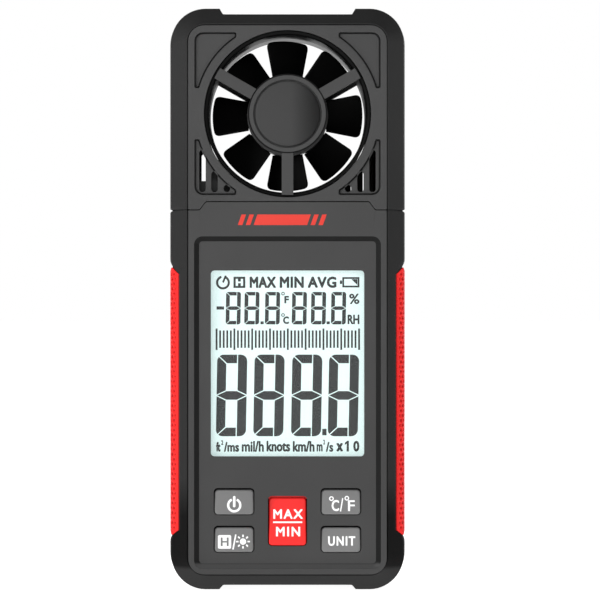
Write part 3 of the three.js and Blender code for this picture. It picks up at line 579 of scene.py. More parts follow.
def corner_outline(sign_x, sign_z):
    """A corner pocket: two straight sides, a rounded corner and an arc round the fan."""
    first = atan2(POCKET_FROM_Z, sqrt(POCKET_RING ** 2 - POCKET_FROM_Z ** 2))
    last = atan2(sqrt(POCKET_RING ** 2 - POCKET_FROM_X ** 2), POCKET_FROM_X)
    curve = arc(Vector((0, 0)), POCKET_RING, first, last, POCKET_STEPS)
    corners = [Vector((POCKET_HALF, POCKET_FROM_Z)), Vector((POCKET_HALF, POCKET_REACH)),
               Vector((POCKET_FROM_X, POCKET_REACH))]
    radii = [POCKET_RADIUS, POCKET_CORNER, POCKET_RADIUS, POCKET_RADIUS]
    radii += [POCKET_ARC_EASE] * (len(curve) - 2) + [POCKET_RADIUS]
    whole = filleted(corners + curve[::-1], radii, 4)
    placed = [Vector((p.x * sign_x, p.y * sign_z)) + FAN_XZ for p in whole]
    return placed if sign_x * sign_z > 0 else placed[::-1]


def vents(sign_x, places):
    holes = []
    for x, top in zip(places, SLOT_TOPS):
        outline = rounded_rect(sign_x * x - SLOT_HALF, sign_x * x + SLOT_HALF, SLOT_LOW, top, SLOT_ROUND)
        holes.append(Hole(outline, lip(FINE_EDGE, POCKET_DEPTH) + [(0, PLATE)], through=True))
    return holes


def head_holes(side, left_slots, right_slots):
    """The fan's opening and the four corner pockets, with vents below and, at the rear, screws above."""
    holes = [Hole(circle(FAN_XZ, FAN_HOLE, 96), lip(EDGE) + [(0, PLATE)], through=True)]
    steps = lip(FINE_EDGE) + [
        (0, POCKET_GROOVE_DEPTH), (-POCKET_GROOVE, POCKET_GROOVE_DEPTH),
        (-POCKET_GROOVE, POCKET_DEPTH + POCKET_EASE), (-POCKET_GROOVE - POCKET_EASE, POCKET_DEPTH)]
    for sign_x, slots, node in ((-1, left_slots, "head_screw_1"), (1, right_slots, "head_screw_2")):
        upper = (counterbore(node, POCKET_DEPTH),) if side == REAR else ()
        holes.append(Hole(corner_outline(sign_x, 1), steps, inside=upper))
        holes.append(Hole(corner_outline(sign_x, -1), steps, inside=vents(sign_x, slots)))
    return holes


# ------------------------------------------------------------------ bumpers

BAND_INSET, TOP_BAND, LOW_BAND = mm(5.05, 5.12, 4.5)
KNEE = DRAFT / BAND_INSET
GRIP_INNER, GRIP_THICK = mm(28.85, 1.2)
NOTCH_DEEP, NOTCH_HIGH = mm(0.7, 0.34)
# Rows of the bumper at the seam: share of the notch's height and of its depth.
NOTCH_ROWS = ((0, 1.0), (0.5, 0.5), (1, 0.06), (1.4, 0.0))
RELIEF_SOFT, RELIEF_STEPS = 0.015, 16
RELIEF_NEAR, RELIEF_FAR, RELIEF_FARTHER, END_START = mm(0.3, 0.6, 1.2, 0.8)
BAND_LIP, BAND_SLOT, KNEE_BELOW = mm(0.2, 2.9, 0.05)
# The rounding of the band's inner edge, as (share of its width, depth).
BAND_TOP = ((1.0, 0.16 * MM), (0.985, 0.05 * MM), (0.955, 0.0))
BEVEL_FROM, BEVEL_RUN, BEVEL_STEPS, SIDE_STEPS = 0.03, 0.92, 6, 4
KNEE_PAST, PULL_FADE = 1.02, 1.6

# A place on the bumper's path: the outline there, its normal, a pull inwards and a row of the grip's bed.
Station = namedtuple("Station", "point normal pull bed", defaults=(0.0, None))


def smoothstep(x):
    x = min(max(x, 0.0), 1.0)
    return x * x * (3 - 2 * x)


def relief_at(x, depth):
    """How far the middle of the top or bottom edge is cut back at x: a ramp with softened ends."""
    t = (RELIEF_OUT - abs(x)) / (RELIEF_OUT - RELIEF_HALF)
    return depth * (1 + sqrt(t * t + RELIEF_SOFT) - sqrt((t - 1) ** 2 + RELIEF_SOFT)) / 2


def corner_stations(centre, first, last, steps=14):
    for k in range(steps + 1):
        normal = heading(radians(first + (last - first) * k / steps))
        yield Station(centre + normal * BUMPER_RADIUS, normal)


def end_stations(z, sign):
    """Along the top or bottom edge, close together where the relief begins."""
    ramp = RELIEF_OUT - RELIEF_HALF + RELIEF_FAR
    xs = [HALF_WIDTH - BUMPER_RADIUS - END_START, RELIEF_OUT + RELIEF_FARTHER, RELIEF_OUT + RELIEF_FAR]
    xs += [RELIEF_OUT + RELIEF_NEAR - ramp * k / RELIEF_STEPS for k in range(RELIEF_STEPS + 1)]
    xs += [RELIEF_HALF - RELIEF_FAR, RELIEF_HALF - RELIEF_FARTHER]
    xs += [RELIEF_HALF * share for share in (0.8, 0.4, 0)]
    xs += [-x for x in xs[-2::-1]]
    normal = Vector((0, sign))
    for x in xs:
        yield Station(Vector((x, z)), normal)


def band_inset(share, normal):
    """How far in from the outline a share of the band's width lies: drafted side, then sloping edge."""
    across, along = normal.x ** 2, normal.y ** 2
    down = normal.y < 0
    draft = DRAFT * across + (LOW_DRAFT if down else DRAFT) * along
    width = BAND_INSET * across + (LOW_BAND if down else TOP_BAND) * along
    if share < KNEE:
        return draft * share / KNEE
    return draft + (width - draft) * (share - KNEE) / (1 - KNEE)


def band_profile():
    """Front half of the bumper's section as (share of the band's width, depth)."""
    points = [(1.0, SHOULDER - BAND_LIP), *BAND_TOP]
    for k in range(BEVEL_STEPS + 1):
        along = BEVEL_FROM + BEVEL_RUN * k / BEVEL_STEPS
        points.append((1 - (1 - KNEE) * along, BEVEL_DEPTH * along))
    points.append((KNEE * KNEE_PAST, BEVEL_DEPTH + KNEE_BELOW))
    for t in (k / SIDE_STEPS for k in range(1, SIDE_STEPS)):
        points.append((KNEE * (1 - t), BEVEL_DEPTH + (HALF_DEPTH - BEVEL_DEPTH) * t))
    return points


def band_section():
    """The whole section: front half, its mirror image, and the slot that holds the shells' skirts."""
    front = band_profile()
    rear = [(share, 2 * HALF_DEPTH - depth) for share, depth in reversed(front)]
    slot = BAND_SLOT / BAND_INSET
    return front + [(0.0, HALF_DEPTH)] + rear + [(slot, rear[-1][1]), (slot, front[0][1])]


def band_point(station, share, depth):
    """A point of the bumper. The pull dies away over the outer part of the band."""
    inset = band_inset(share, station.normal)
    inset += station.pull * max(0.0, 1 - share * PULL_FADE) ** 2
    flat = station.point - station.normal * inset
    lowest, highest = relief_at(flat.x, RELIEF_BOTTOM), HEIGHT - relief_at(flat.x, RELIEF_TOP)
    return (flat.x, depth - HALF_DEPTH, min(max(flat.y, lowest), highest))


def bumper(name, zone, material, replaced):
    """A bumper's stations run from the seam at the right, round the far end, to the seam at the left."""
    away, end = (-1, 0) if zone == "body" else (1, HEIGHT)
    seam = SEAM_SIDE + away * SEAM_GAP / 2
    corner_x, corner_z = HALF_WIDTH - BUMPER_RADIUS, end - away * BUMPER_RADIUS
    right = Vector((1, 0))
    start = [Station(Vector((HALF_WIDTH, seam + away * NOTCH_HIGH * d)), right, NOTCH_DEEP * pull)
             for d, pull in NOTCH_ROWS]
    if zone == "body":
        start += [Station(Vector((HALF_WIDTH, z)), right, pull, bed) for z, pull, bed in GRIP_ROWS]
    path = list(corner_stations(Vector((corner_x, corner_z)), 0, away * 90))
    path += list(end_stations(end, away))
    path += list(corner_stations(Vector((-corner_x, corner_z)), away * 90, away * 180))
    finish = [s._replace(point=Vector((-s.point.x, s.point.y)), normal=-right) for s in reversed(start)]
    section = band_section()
    solid = Solid()
    rings = []
    for station in start + path + finish:
        row = [band_point(station, share, depth) for share, depth in section]
        if station.bed:
            row = [bedded(p, station.bed) for p in row]
        rings.append(solid.loop(row))
    solid.drum(rings)
    return solid.piece(name, material, "housing", replaced, "bumper_rubber", sharp=38)


# ------------------------------------------------------------------ grips

BEVEL_WIDE = BAND_INSET - DRAFT
BEVEL_EDGE = HALF_WIDTH - BAND_INSET
SIDE_TURN = sqrt(BEVEL_DEPTH ** 2 + BEVEL_WIDE ** 2) / BEVEL_WIDE

# Rows of the bumper at the slanted ends of the grip: height, pull inwards and kind of row.
GRIP_DIP, GRIP_HIGH, GRIP_LOW, BED_STEP = mm(0.7, 86.45, 14.55, 0.01)
GRIP_ROWS = (
    (88.6 * MM, 0.0, None), (87.9 * MM, 0.04 * MM, None), (87.2 * MM, 0.28 * MM, None),
    (GRIP_HIGH, GRIP_DIP, "top"), (GRIP_HIGH - BED_STEP, GRIP_DIP, "top bed"),
    (GRIP_LOW + BED_STEP, GRIP_DIP, "low bed"), (GRIP_LOW, GRIP_DIP, "low"),
    (13.8 * MM, 0.28 * MM, None), (13.1 * MM, 0.04 * MM, None), (12.4 * MM, 0.0, None),
)
LOW_SLANT, OUTER_SLANT = 0.8, 1.2
BED_MARGIN = 0.3 * MM

GRIP_CLEAR, GRIP_STEP, GRIP_CORNER = mm(0.25, 0.2, 0.8)
DOT_PITCH, DOT_RADIUS, DOT_DEPTH = mm(1.3, 0.56, 0.24)
DOT_WALL = 0.7
SHADE_FROM, SHADE_TO = mm(0.1, 0.8)
# The dimples begin a run after the grip's edge, and are full some way further on.
SMOOTH_RUN, SMOOTH_FADE = mm(1.0, 0.3)
END_RUN, END_FADE = mm(0.7, 0.4)
RIM_DROP, RIM_RUN, END_DROP = mm(0.3, 0.45, 0.35)
END_RINGS = 4
LINING_STEP = 6
SectionPoint = namedtuple("SectionPoint", "point normal run")


def slope_line(x, sink):
    """Depth of the bumper's sloping edge at x, sunk square to it by a distance."""
    return (x - BEVEL_EDGE) * BEVEL_DEPTH / BEVEL_WIDE + sink * SIDE_TURN


def bedded(point, bed):
    """Moves a point of the bumper's side to the slanted end of the grip's bed, or down onto the bed."""
    x, y, z = point
    reach = abs(x)
    slant = max(0.0, HALF_WIDTH - GRIP_DIP - max(reach, GRIP_INNER - BED_MARGIN))
    z += LOW_SLANT * slant if "low" in bed else -slant
    if "bed" in bed and reach > GRIP_INNER:
        sunk = min(reach, HALF_WIDTH - GRIP_THICK)
        depth = max(HALF_DEPTH - abs(y), slope_line(sunk, GRIP_THICK))
        y = (HALF_DEPTH - depth) * (1 if y > 0 else -1)
        x = sunk * (1 if x > 0 else -1)
    return (x, y, z)


def resampled(line, step):
    """Points along a line at equal steps, each with its outward normal and the run so far."""
    lengths = [(b - a).length for a, b in zip(line, line[1:])]
    total = sum(lengths)
    count = round(total / step)
    points = []
    for k in range(count + 1):
        goal = total * k / count
        i = 0
        while i < len(lengths) - 1 and goal > lengths[i]:
            goal -= lengths[i]
            i += 1
        a, b = line[i], line[i + 1]
        along = (b - a).normalized()
        points.append(SectionPoint(a + along * goal, Vector((along.y, -along.x)), total * k / count))
    return points


def grip_surface():
    """The grip's outer section from front to back as points, outward normals and runs."""
    front_x = GRIP_INNER + GRIP_CLEAR
    slope = Vector((BEVEL_WIDE, BEVEL_DEPTH)).normalized()
    bend = Vector((HALF_WIDTH - DRAFT, -HALF_DEPTH + BEVEL_DEPTH))
    side = (Vector((HALF_WIDTH, 0)) - bend).normalized()
    before, after = bend - slope * GRIP_CORNER, bend + side * GRIP_CORNER
    outline = [Vector((front_x, -HALF_DEPTH + slope_line(front_x, 0)))]
    for t in (k / 6 for k in range(7)):
        outline.append(before * (1 - t) ** 2 + bend * 2 * t * (1 - t) + after * t * t)
    outline.append(Vector((HALF_WIDTH, 0)))
    outline += [Vector((p.x, -p.y)) for p in reversed(outline[:-1])]
    return resampled(outline, GRIP_STEP)


def dimple(run, z):
    """Depth of a staggered field of round dimples."""
    row = round(z / DOT_PITCH)
    shift = DOT_PITCH / 2 if row % 2 else 0.0
    column = round((run - shift) / DOT_PITCH)
    away = sqrt((run - shift - column * DOT_PITCH) ** 2 + (z - row * DOT_PITCH) ** 2)
    return DOT_DEPTH * smoothstep((DOT_RADIUS - away) / (DOT_RADIUS * DOT_WALL))


def grip_ends(x):
    """Heights of the grip's two slanted ends where the surface lies at x."""
    reach = min(max(x, GRIP_INNER), HALF_WIDTH)
    turn = HALF_WIDTH - GRIP_DIP
    slant = turn - reach if reach < turn else OUTER_SLANT * (reach - turn)
    return GRIP_LOW + LOW_SLANT * slant + GRIP_CLEAR, GRIP_HIGH - slant - GRIP_CLEAR


def below_skin(face):
    """Picks the floors of a grip's dimples and its rounded rim, which get a painted shade."""
    middle = face.calc_center_median()
    x, y = abs(middle.x), abs(middle.y)
    under_slope = (HALF_DEPTH - y - slope_line(x, 0)) / SIDE_TURN
    under_side = HALF_WIDTH - DRAFT * y / (HALF_DEPTH - BEVEL_DEPTH) - x
    return SHADE_FROM < min(under_slope, under_side) < SHADE_TO


def grip(name, sign, replaced):
    """A grip is made of rings round its section, from its lower end to its upper one."""
    section = grip_surface()
    total = section[-1].run
    lining = section[::LINING_STEP] + section[-1:]
    rows = round((GRIP_HIGH - GRIP_LOW) / GRIP_STEP)
    solid = Solid()
    rings = []
    for j in range(-END_RINGS, rows + END_RINGS + 1):
        share = min(max(j / rows, 0), 1)
        beyond = max(0, -j, j - rows) / END_RINGS
        ring = []
        for place in section:
            low, high = grip_ends(place.point.x)
            z = low + (high - low) * share
            edge = min(place.run, total - place.run)
            inside = smoothstep((edge - SMOOTH_RUN) / SMOOTH_FADE)
            inside *= smoothstep((min(z - low, high - z) - END_RUN) / END_FADE)
            sunk = dimple(place.run - total / 2, z) * inside
            drop = RIM_DROP * (1 - smoothstep(edge / RIM_RUN)) ** 2 + END_DROP * beyond ** 2
            outer = place.point - place.normal * (sunk + drop)
            ring.append((sign * outer.x, outer.y, z))
        for place in reversed(lining):
            low, high = grip_ends(place.point.x)
            inner = place.point - place.normal * (GRIP_THICK - GRIP_CLEAR)
            inner.x = max(inner.x, GRIP_INNER + GRIP_CLEAR)
            ring.append((sign * inner.x, inner.y, low + (high - low) * share))
        rings.append(solid.loop(ring))
    solid.drum(rings)
    return solid.piece(name, GRIP, "housing", replaced, "red_grip_rubber", sharp=50, weighted=False,
                       accent=(GRIP_PAINTED_SHADE, below_skin))


# ------------------------------------------------------------------ fan head

DUCT_INNER, DUCT_OUTER, DUCT_LIP, DUCT_SPLIT = mm(20.95, 22.05, 0.8, 0.05)
# The rounding of the duct's mouth: growth and depth below its lip.
DUCT_MOUTH = (mm(0.7, 0), mm(0.35, 0.12), mm(0.1, 0.45), mm(0, 1.1), mm(0, 6))
HUB_RADIUS, HUB_DEPTH, BARREL_STEP, BARREL_FLOOR, BARREL_LAP = mm(10.25, 6.5, 0.3, 0.8, 0.05)
CAP_RADIUS, CAP_RECESS, CAP_SUNK, CAP_CROWN, CAP_EDGE, CAP_EASE = mm(8.62, 9.1, 1.1, 0.4, 0.2, 0.05)
CAP_STEPS = 12
SPOKE_HALF, SPOKE_REACH, SPOKE_DEPTH = mm(1.55, 21.6, 2.8)
SPOKE_ANGLES = (30, 150, 270)
SPOKE_FOOT, SPOKE_FLARE, SPOKE_RUN = mm(0.5, 0.12, 5)
# A thin ring round the front hub's rim that carries a painted shadow line.
HUB_LINE_IN, HUB_LINE_OUT, HUB_LINE_PROUD, HUB_LINE_DEEP = mm(0.05, 0.3, 0.02, 0.6)


def duct(name, side, material, replaced):
    lip_y = HALF_DEPTH - DUCT_LIP
    profile = [(DUCT_INNER, DUCT_SPLIT), (DUCT_OUTER, DUCT_SPLIT), (DUCT_OUTER, lip_y - FINE_EDGE),
               (DUCT_OUTER - FINE_EDGE, lip_y)]
    profile += [(DUCT_INNER + growth, lip_y - down) for growth, down in DUCT_MOUTH]
    solid = Solid(side)
    turned(solid, [(r, side * y) for r, y in profile], FAN, 128)
    return solid.piece(name, material, "housing", replaced, "black_abs")


def spider_outline():
    """The hub's circle with three bars that reach out to the duct."""
    points = []
    half_angle = atan2(SPOKE_HALF + SPOKE_FOOT, HUB_RADIUS)
    bend = sqrt(HUB_RADIUS ** 2 - SPOKE_HALF ** 2)
    tip = atan2(SPOKE_HALF, SPOKE_REACH)
    turn = radians(360 / len(SPOKE_ANGLES))
    side = ((bend + SPOKE_FLARE, SPOKE_HALF + SPOKE_FLARE), (bend + SPOKE_FOOT, SPOKE_HALF),
            (bend + SPOKE_RUN, SPOKE_HALF))
    for a in map(radians, SPOKE_ANGLES):
        out, left = heading(a), heading(a + pi / 2)
        points += [out * far - left * aside for far, aside in side]
        points += arc(Vector((0, 0)), SPOKE_REACH, a - tip, a + tip, 6)
        points += [out * far + left * aside for far, aside in reversed(side)]
        points += arc(Vector((0, 0)), HUB_RADIUS, a + half_angle, a + turn - half_angle, 20)
    return [p + FAN_XZ for p in points]


def spider(name, side, cap):
    """Hub and spokes. The front one has a recess for the cap and a thin ring round its rim, painted dark as
    a shadow line.
    """
    solid = Solid(side)
    back = [(0, SPOKE_DEPTH - HOLE_EDGE), (-HOLE_EDGE, SPOKE_DEPTH)]
    rings = solid.rise(spider_outline(), brim(HOLE_EDGE) + back)
    recess = Hole(circle(FAN_XZ, CAP_RECESS, DISC_STEPS), lip(FINE_EDGE) + [(0, CAP_SUNK)])
    solid.plate(rings, [recess] if cap else [])
    solid.drum(solid.discs(FAN_XZ, [
        (HUB_RADIUS - BARREL_STEP, SPOKE_DEPTH - BARREL_LAP), (HUB_RADIUS - BARREL_STEP, HUB_DEPTH),
        (HUB_RADIUS - BARREL_FLOOR, HUB_DEPTH)]))
    inner, outer = HUB_RADIUS - HUB_LINE_IN, HUB_RADIUS + HUB_LINE_OUT
    if cap:
        rings = solid.discs(FAN_XZ, [(inner, HUB_LINE_DEEP), (inner, -HUB_LINE_PROUD),
                                     (outer, -HUB_LINE_PROUD), (outer, HUB_LINE_DEEP)])
        solid.walls(rings + rings[:1])

    def shadow_line(face):
        """Picks the painted shadow line where the front hub's rim stands against its spokes."""
        middle = face.calc_center_median()
        away = (Vector((middle.x, middle.z)) - FAN_XZ).length
        return cap and inner < away < outer and middle.y < SPOKE_DEPTH - HALF_DEPTH
    return solid.piece(name, SHELL, "housing", (), "black_abs", accent=(GAP_PAINTED_SHADE, shadow_line))


def hub_cap():
    """A round cap, very slightly domed, in the front hub's recess, with painted shade falling on its right.
    """
    solid = Solid()
    steps = [(CAP_RADIUS * k / CAP_STEPS, CAP_CROWN * (k / CAP_STEPS) ** 2) for k in range(1, CAP_STEPS)]
    steps += [(CAP_RADIUS - CAP_EDGE, CAP_CROWN), (CAP_RADIUS - CAP_EASE, CAP_CROWN + CAP_EASE),
              (CAP_RADIUS, CAP_CROWN + CAP_EDGE), (CAP_RADIUS, CAP_SUNK - CAP_EASE)]
    solid.drum(solid.discs(FAN_XZ, steps))
    return solid.piece("hub_cap_front", CAP_PAINTED_SHADE, "housing", ("hub_cap",), "dark_grey_abs")


ROTOR_HUB, ROTOR_HALF, ROTOR_TIP = mm(10.9, 4.5, 20.2)
ROTOR_WALL, ROTOR_FLOOR, ROTOR_SLEEVE, ROTOR_BORE = mm(1.2, 1.5, 2.6, 0.8)
BLADES, BLADE_PITCH = 8, 40
ROOT_WIDTH, TIP_WIDTH, BLADE_THICK, BLADE_EDGE = mm(8.0, 11.2, 0.8, 0.3)
ROOT_SUNK, ROOT_ROUND, TIP_ROUND, TIP_EASE = mm(0.5, 0.05, 1.3, 3)
TIP_STEPS = 12
EDGE_SHARE = 0.3


def blade_half_width(r):
    share = (r - ROTOR_HUB) / (ROTOR_TIP - ROTOR_HUB)
    return (ROOT_WIDTH + (TIP_WIDTH - ROOT_WIDTH) * share) / 2 / cos(radians(BLADE_PITCH))


def blade_outline():
    """In the blade's own plane: along the radius and across it. The tip follows the duct's wall."""
    root = ROTOR_HUB - ROOT_SUNK
    tip_half = blade_half_width(ROTOR_TIP)
    corners = [Vector((root, -blade_half_width(root)))]
    for k in range(TIP_STEPS + 1):
        across = -tip_half + 2 * tip_half * k / TIP_STEPS
        spread = across * cos(radians(BLADE_PITCH))
        # The points next to the corners are left out, to make room for the corners' rounding.
        if k not in (1, TIP_STEPS - 1):
            corners.append(Vector((sqrt(ROTOR_TIP ** 2 - spread ** 2), across)))
    corners.append(Vector((root, blade_half_width(root))))
    radii = [ROOT_ROUND, TIP_ROUND] + [TIP_EASE] * (len(corners) - 4) + [TIP_ROUND, ROOT_ROUND]
    return filleted(corners, radii, 4)


def impeller_blades():
    outline = blade_outline()
    solid = Solid()
    half, chamfer = BLADE_THICK / 2, BLADE_EDGE * EDGE_SHARE
    layers = [(-BLADE_EDGE, -half), (-chamfer, -half + chamfer), (0, -half + BLADE_EDGE),
              (0, half - BLADE_EDGE), (-chamfer, half - chamfer), (-BLADE_EDGE, half)]
    pitch = Matrix.Rotation(radians(BLADE_PITCH - 90), 4, "X")
    for index in range(BLADES):
        turn = Matrix.Rotation(radians(360 / BLADES * index), 4, "Y")
        place = Matrix.Translation(FAN) @ turn @ pitch
        solid.drum([solid.loop([place @ Vector((p.x, p.y, height)) for p in grown(outline, growth)])
                    for growth, height in layers])
    return solid.piece("impeller_blades", BLADE, "rotor", ("impeller",), "black_abs")


def impeller_hub():
    """A cup with a sleeve for the shaft in its middle."""
    r, half = ROTOR_HUB, ROTOR_HALF
    inner, floor = r - ROTOR_WALL, ROTOR_FLOOR - half
    near, far = mm(0.1, 0.4)
    profile = [
        (ROTOR_BORE, -half), (r - far, -half), (r - near, -half + near), (r, -half + far),
        (r, half - EDGE), (r - EDGE, half), (inner, half), (inner, floor), (ROTOR_SLEEVE, floor),
        (ROTOR_SLEEVE, half), (ROTOR_BORE, half),
    ]
    solid = Solid()
    turned(solid, profile, FAN, 96)
    return solid.piece("impeller_hub", HUB, "rotor", (), "black_abs")


# ------------------------------------------------------------------ flat shapes and lettering

# Copies of a text that make it bolder, and how much thicker each is than the one before.
COPIES, LAYER = 8, 0.12
HALF_UNIT = 0.5
PRINT, PRINT_SHARP = 0.03 * MM, 30


def glyphs(text, spacing):
    """The text as a mesh one unit thick, in the built-in font."""
    curve = bpy.data.curves.new("glyphs", "FONT")
    curve.body = text
    curve.space_character = spacing
    curve.extrude = HALF_UNIT
    curve.resolution_u = 3
    thing = bpy.data.objects.new("glyphs", curve)
    bpy.context.scene.collection.objects.link(thing)
    mesh = bpy.data.meshes.new_from_object(thing.evaluated_get(bpy.context.evaluated_depsgraph_get()))
    bpy.data.objects.remove(thing)
    bpy.data.curves.remove(curve)
    return mesh


class Ink(Solid):
    """Flat shapes of one thickness, laid on a surface by place(x, z, lift)."""

    def __init__(self, place, thick=PRINT):
        super().__init__()
        self.place = place
        self.thick = thick

    def shape(self, *outlines):
        """A thin plate with an outline and perhaps holes."""
        near = [self.loop([self.place(p.x, p.y, self.thick) for p in outline]) for outline in outlines]
        far = [self.loop([self.place(p.x, p.y, 0.0) for p in outline]) for outline in outlines]
        for above, below in zip(near, far):
            self.walls([above, below])
        self.floor(near)
        self.floor(far)

    def box(self, left, right, low, top):
        self.shape(box_outline(left, right, low, top))

    def bar(self, start, end, thick):
        """A straight stroke between two points, with square ends."""
        along = (end - start).normalized()
        side = Vector((along.y, -along.x)) * (thick * MM / 2)
        self.shape([start + side, end + side, end - side, start - side])

    def hoop(self, x, z, outer, inner, steps):
        self.shape(circle(xz(x, z), outer * MM, steps), circle(xz(x, z), inner * MM, steps))

    def open_hoop(self, centre, outer, inner, gap_from, gap_to):
        """A ring with a gap between two angles in degrees."""
        first, last = radians(gap_to), radians(gap_from + 360)
        far, near = (arc(centre, radius * MM, first, last, 28) for radius in (outer, inner))
        self.shape(far + near[::-1])

    def text(self, text, left, right, low, top, weight, spacing=1.0):
        """Text stretched to fill a width and a height in millimetres.

        It is made bolder by laying copies of it round a circle that has the weight for a radius.
        """
        mesh = glyphs(text, spacing)
        spots = [v.co.copy() for v in mesh.vertices]
        least = Vector((min(p.x for p in spots), min(p.y for p in spots)))
        size = Vector((max(p.x for p in spots), max(p.y for p in spots))) - least
        for k in range(COPIES):
            away = heading(2 * pi * (k + 0.5) / COPIES) * weight
            for vertex, spot in zip(mesh.vertices, spots):
                x = left + weight + (spot.x - least.x) / size.x * (right - left - 2 * weight) + away.x
                z = low + weight + (spot.y - least.y) / size.y * (top - low - 2 * weight) + away.y
                vertex.co = self.place(x * MM, z * MM, self.thick * (spot.z + HALF_UNIT) * (1 + LAYER * k))
            self.mesh.from_mesh(mesh)
        bpy.data.meshes.remove(mesh)

    def done(self, name, material, body="housing"):
        return self.piece(name, material, body, sharp=PRINT_SHARP, weighted=False)


def box_outline(left, right, low, top):
    return [xz(left, low), xz(right, low), xz(right, top), xz(left, top)]


def capital_h(left, right, low, top, stem, crossbar):
    """The outline of a plain H."""
    a, b = left + stem, right - stem
    middle = (low + top) / 2
    c, d = middle - crossbar / 2, middle + crossbar / 2
    return [xz(*p) for p in ((left, low), (a, low), (a, c), (b, c), (b, low), (right, low), (right, top),
                             (b, top), (b, d), (a, d), (a, top), (left, top))]


# ------------------------------------------------------------------ keys

KEY_TILT = tan(radians(6))
KEY_FRONT, KEY_EDGE, KEY_RADIUS, SKIRT_BELOW = mm(0.9, 0.45, 0.95, 0.05)
# Depths of the flange that keeps a key in the case, counted from the middle of the case.
FLANGE_NEAR, FLANGE_FAR = mm(12.3, 10.9)


def key_plane(node):
    """Places a point on a key's face, whose top edge lies deeper than its lower edge."""
    low = key_box(node)[2]

    def place(x, z, lift):
        return (x, -HALF_DEPTH + KEY_FRONT + (z - low) * KEY_TILT - lift, z)
    return place


def key(node, piece, body, material, slot):
    place = key_plane(node)
    outline = rounded_rect(*key_box(node), KEY_RADIUS)
    solid = Solid()
    rings = [solid.loop([place(p.x, p.y, -depth) for p in grown(outline, growth)])
             for growth, depth in brim(KEY_EDGE, turns=4)]
    flange = grown(outline, KEY_FLANGE)
    rings += [solid.ring(outline, HALF_DEPTH - FLANGE_NEAR), solid.ring(flange, HALF_DEPTH - FLANGE_NEAR),
              solid.ring(flange, HALF_DEPTH - FLANGE_FAR)]
    solid.drum(rings)

    def skirt(face):
        """Picks the part of the key that lies down in the gap round it, painted near black as the gap's
        shade.
        """
        middle = face.calc_center_median()
        return middle.y - place(middle.x, middle.z, 0.0)[1] > KEY_EDGE + SKIRT_BELOW
    return solid.piece(piece, material, body, (node,), slot, accent=(GAP_PAINTED_SHADE, skirt))


# The drawings below give places and sizes in millimetres.

def draw_power(ink):
    centre = xz(-14.17, 22.95)
    ink.open_hoop(centre, 1.92, 1.3, 66, 114)
    half, low, top, radius = mm(0.34, 22.4, 25.4, 0.33)
    ink.shape(rounded_rect(centre.x - half, centre.x + half, low, top, radius, 4))


def draw_hold(ink):
    ink.shape(rounded_rect(*mm(-18.5, -14.97, 11.4, 15.0, 0.4), 4),
              capital_h(-17.75, -15.65, 12.1, 14.35, 0.5, 0.4))
    ink.bar(xz(-14.5, 11.2), xz(-13.75, 15.15), 0.4)
    sun = xz(-11.83, 13.28)
    disc, ray_from, ray_to = mm(0.85, 1.18, 1.84)
    ink.shape(circle(sun, disc, 24))
    for k in range(8):
        out = heading(pi / 4 * k)
        ink.bar(sun + out * ray_from, sun + out * ray_to, 0.42)


def draw_max_min(ink):
    ink.text("MAX", -3.8, 4.1, 19.3, 21.85, 0.11, 1.22)
    ink.bar(xz(-3.85, 18.4), xz(3.92, 18.4), 0.42)
    ink.text("MIN", -3.07, 3.37, 14.66, 17.22, 0.11, 1.22)


def draw_temperature(ink):
    ink.hoop(11.67, 24.7, 0.63, 0.33, 20)
    ink.hoop(15.77, 24.8, 0.63, 0.33, 20)
    ink.text("C", 11.7, 13.72, 21.38, 24.37, 0.1)
    ink.bar(xz(14.08, 21.3), xz(14.68, 24.85), 0.32)
    ink.text("F", 16.05, 17.87, 21.38, 24.27, 0.06)


def draw_unit(ink):
    ink.text("UNIT", 10.77, 18.03, 12.16, 14.72, 0.11, 1.2)


# ------------------------------------------------------------------ display

GLASS_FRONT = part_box("lcd_glass")[0].y
GLASS_RADIUS, GLASS_CLEAR, SEGMENT_THICK = mm(0.4, 0.01, 0.02)
WINDOW_SHRINK, WINDOW_SUNK, WINDOW_BACK = mm(0.06, 0.02, 0.05)

# A style of digit: wide, high, stem, beam, radius of the outer corners, gap between parts, slant.
SMALL_DIGIT = (3.95, 8.65, 1.0, 0.95, 0.75, 0.14, 0.15)
BIG_DIGIT = (8.0, 21.75, 2.45, 2.3, 1.9, 0.27, 0.4)


def on_glass(x, z, lift):
    return (x, GLASS_FRONT - GLASS_CLEAR - lift, z)


def seven_segments(wide, high, stem, beam, radius, gap):
    """The seven parts of a digit in millimetres from its lower left corner, each shrunk by half the gap."""
    w, h, v, b = wide + gap, high + gap, stem + gap, beam + gap
    turn = [Vector((radius * (1 - cos(a)), h - radius * (1 - sin(a))))
            for a in (pi / 2 * k / 8 for k in range(9))]
    middle = h / 2
    upper_left = [Vector((0, middle)), Vector((v, middle + b / 2)), Vector((v, h - b))] + turn[4::-1]
    top = [turn[4], Vector((v, h - b)), Vector((w - v, h - b)), Vector((w - v, h))] + turn[:4:-1]
    right_turn = [Vector((w - p.x, p.y)) for p in turn]
    upper_right = [Vector((w - v, middle + b / 2)), Vector((w, middle))] + right_turn
    upper_right += [Vector((w - v, h))]
    halves = [upper_left, top, upper_right]
    lower = [[Vector((p.x, h - p.y)) for p in reversed(part)] for part in halves]
    hexagon = [Vector((0, middle)), Vector((v, middle - b / 2)), Vector((w - v, middle - b / 2)),
               Vector((w, middle)), Vector((w - v, middle + b / 2)), Vector((v, middle + b / 2))]
    shift = Vector((gap / 2, gap / 2))
    return [[p - shift for p in grown(part, -gap / 2)] for part in halves + lower + [hexagon]]


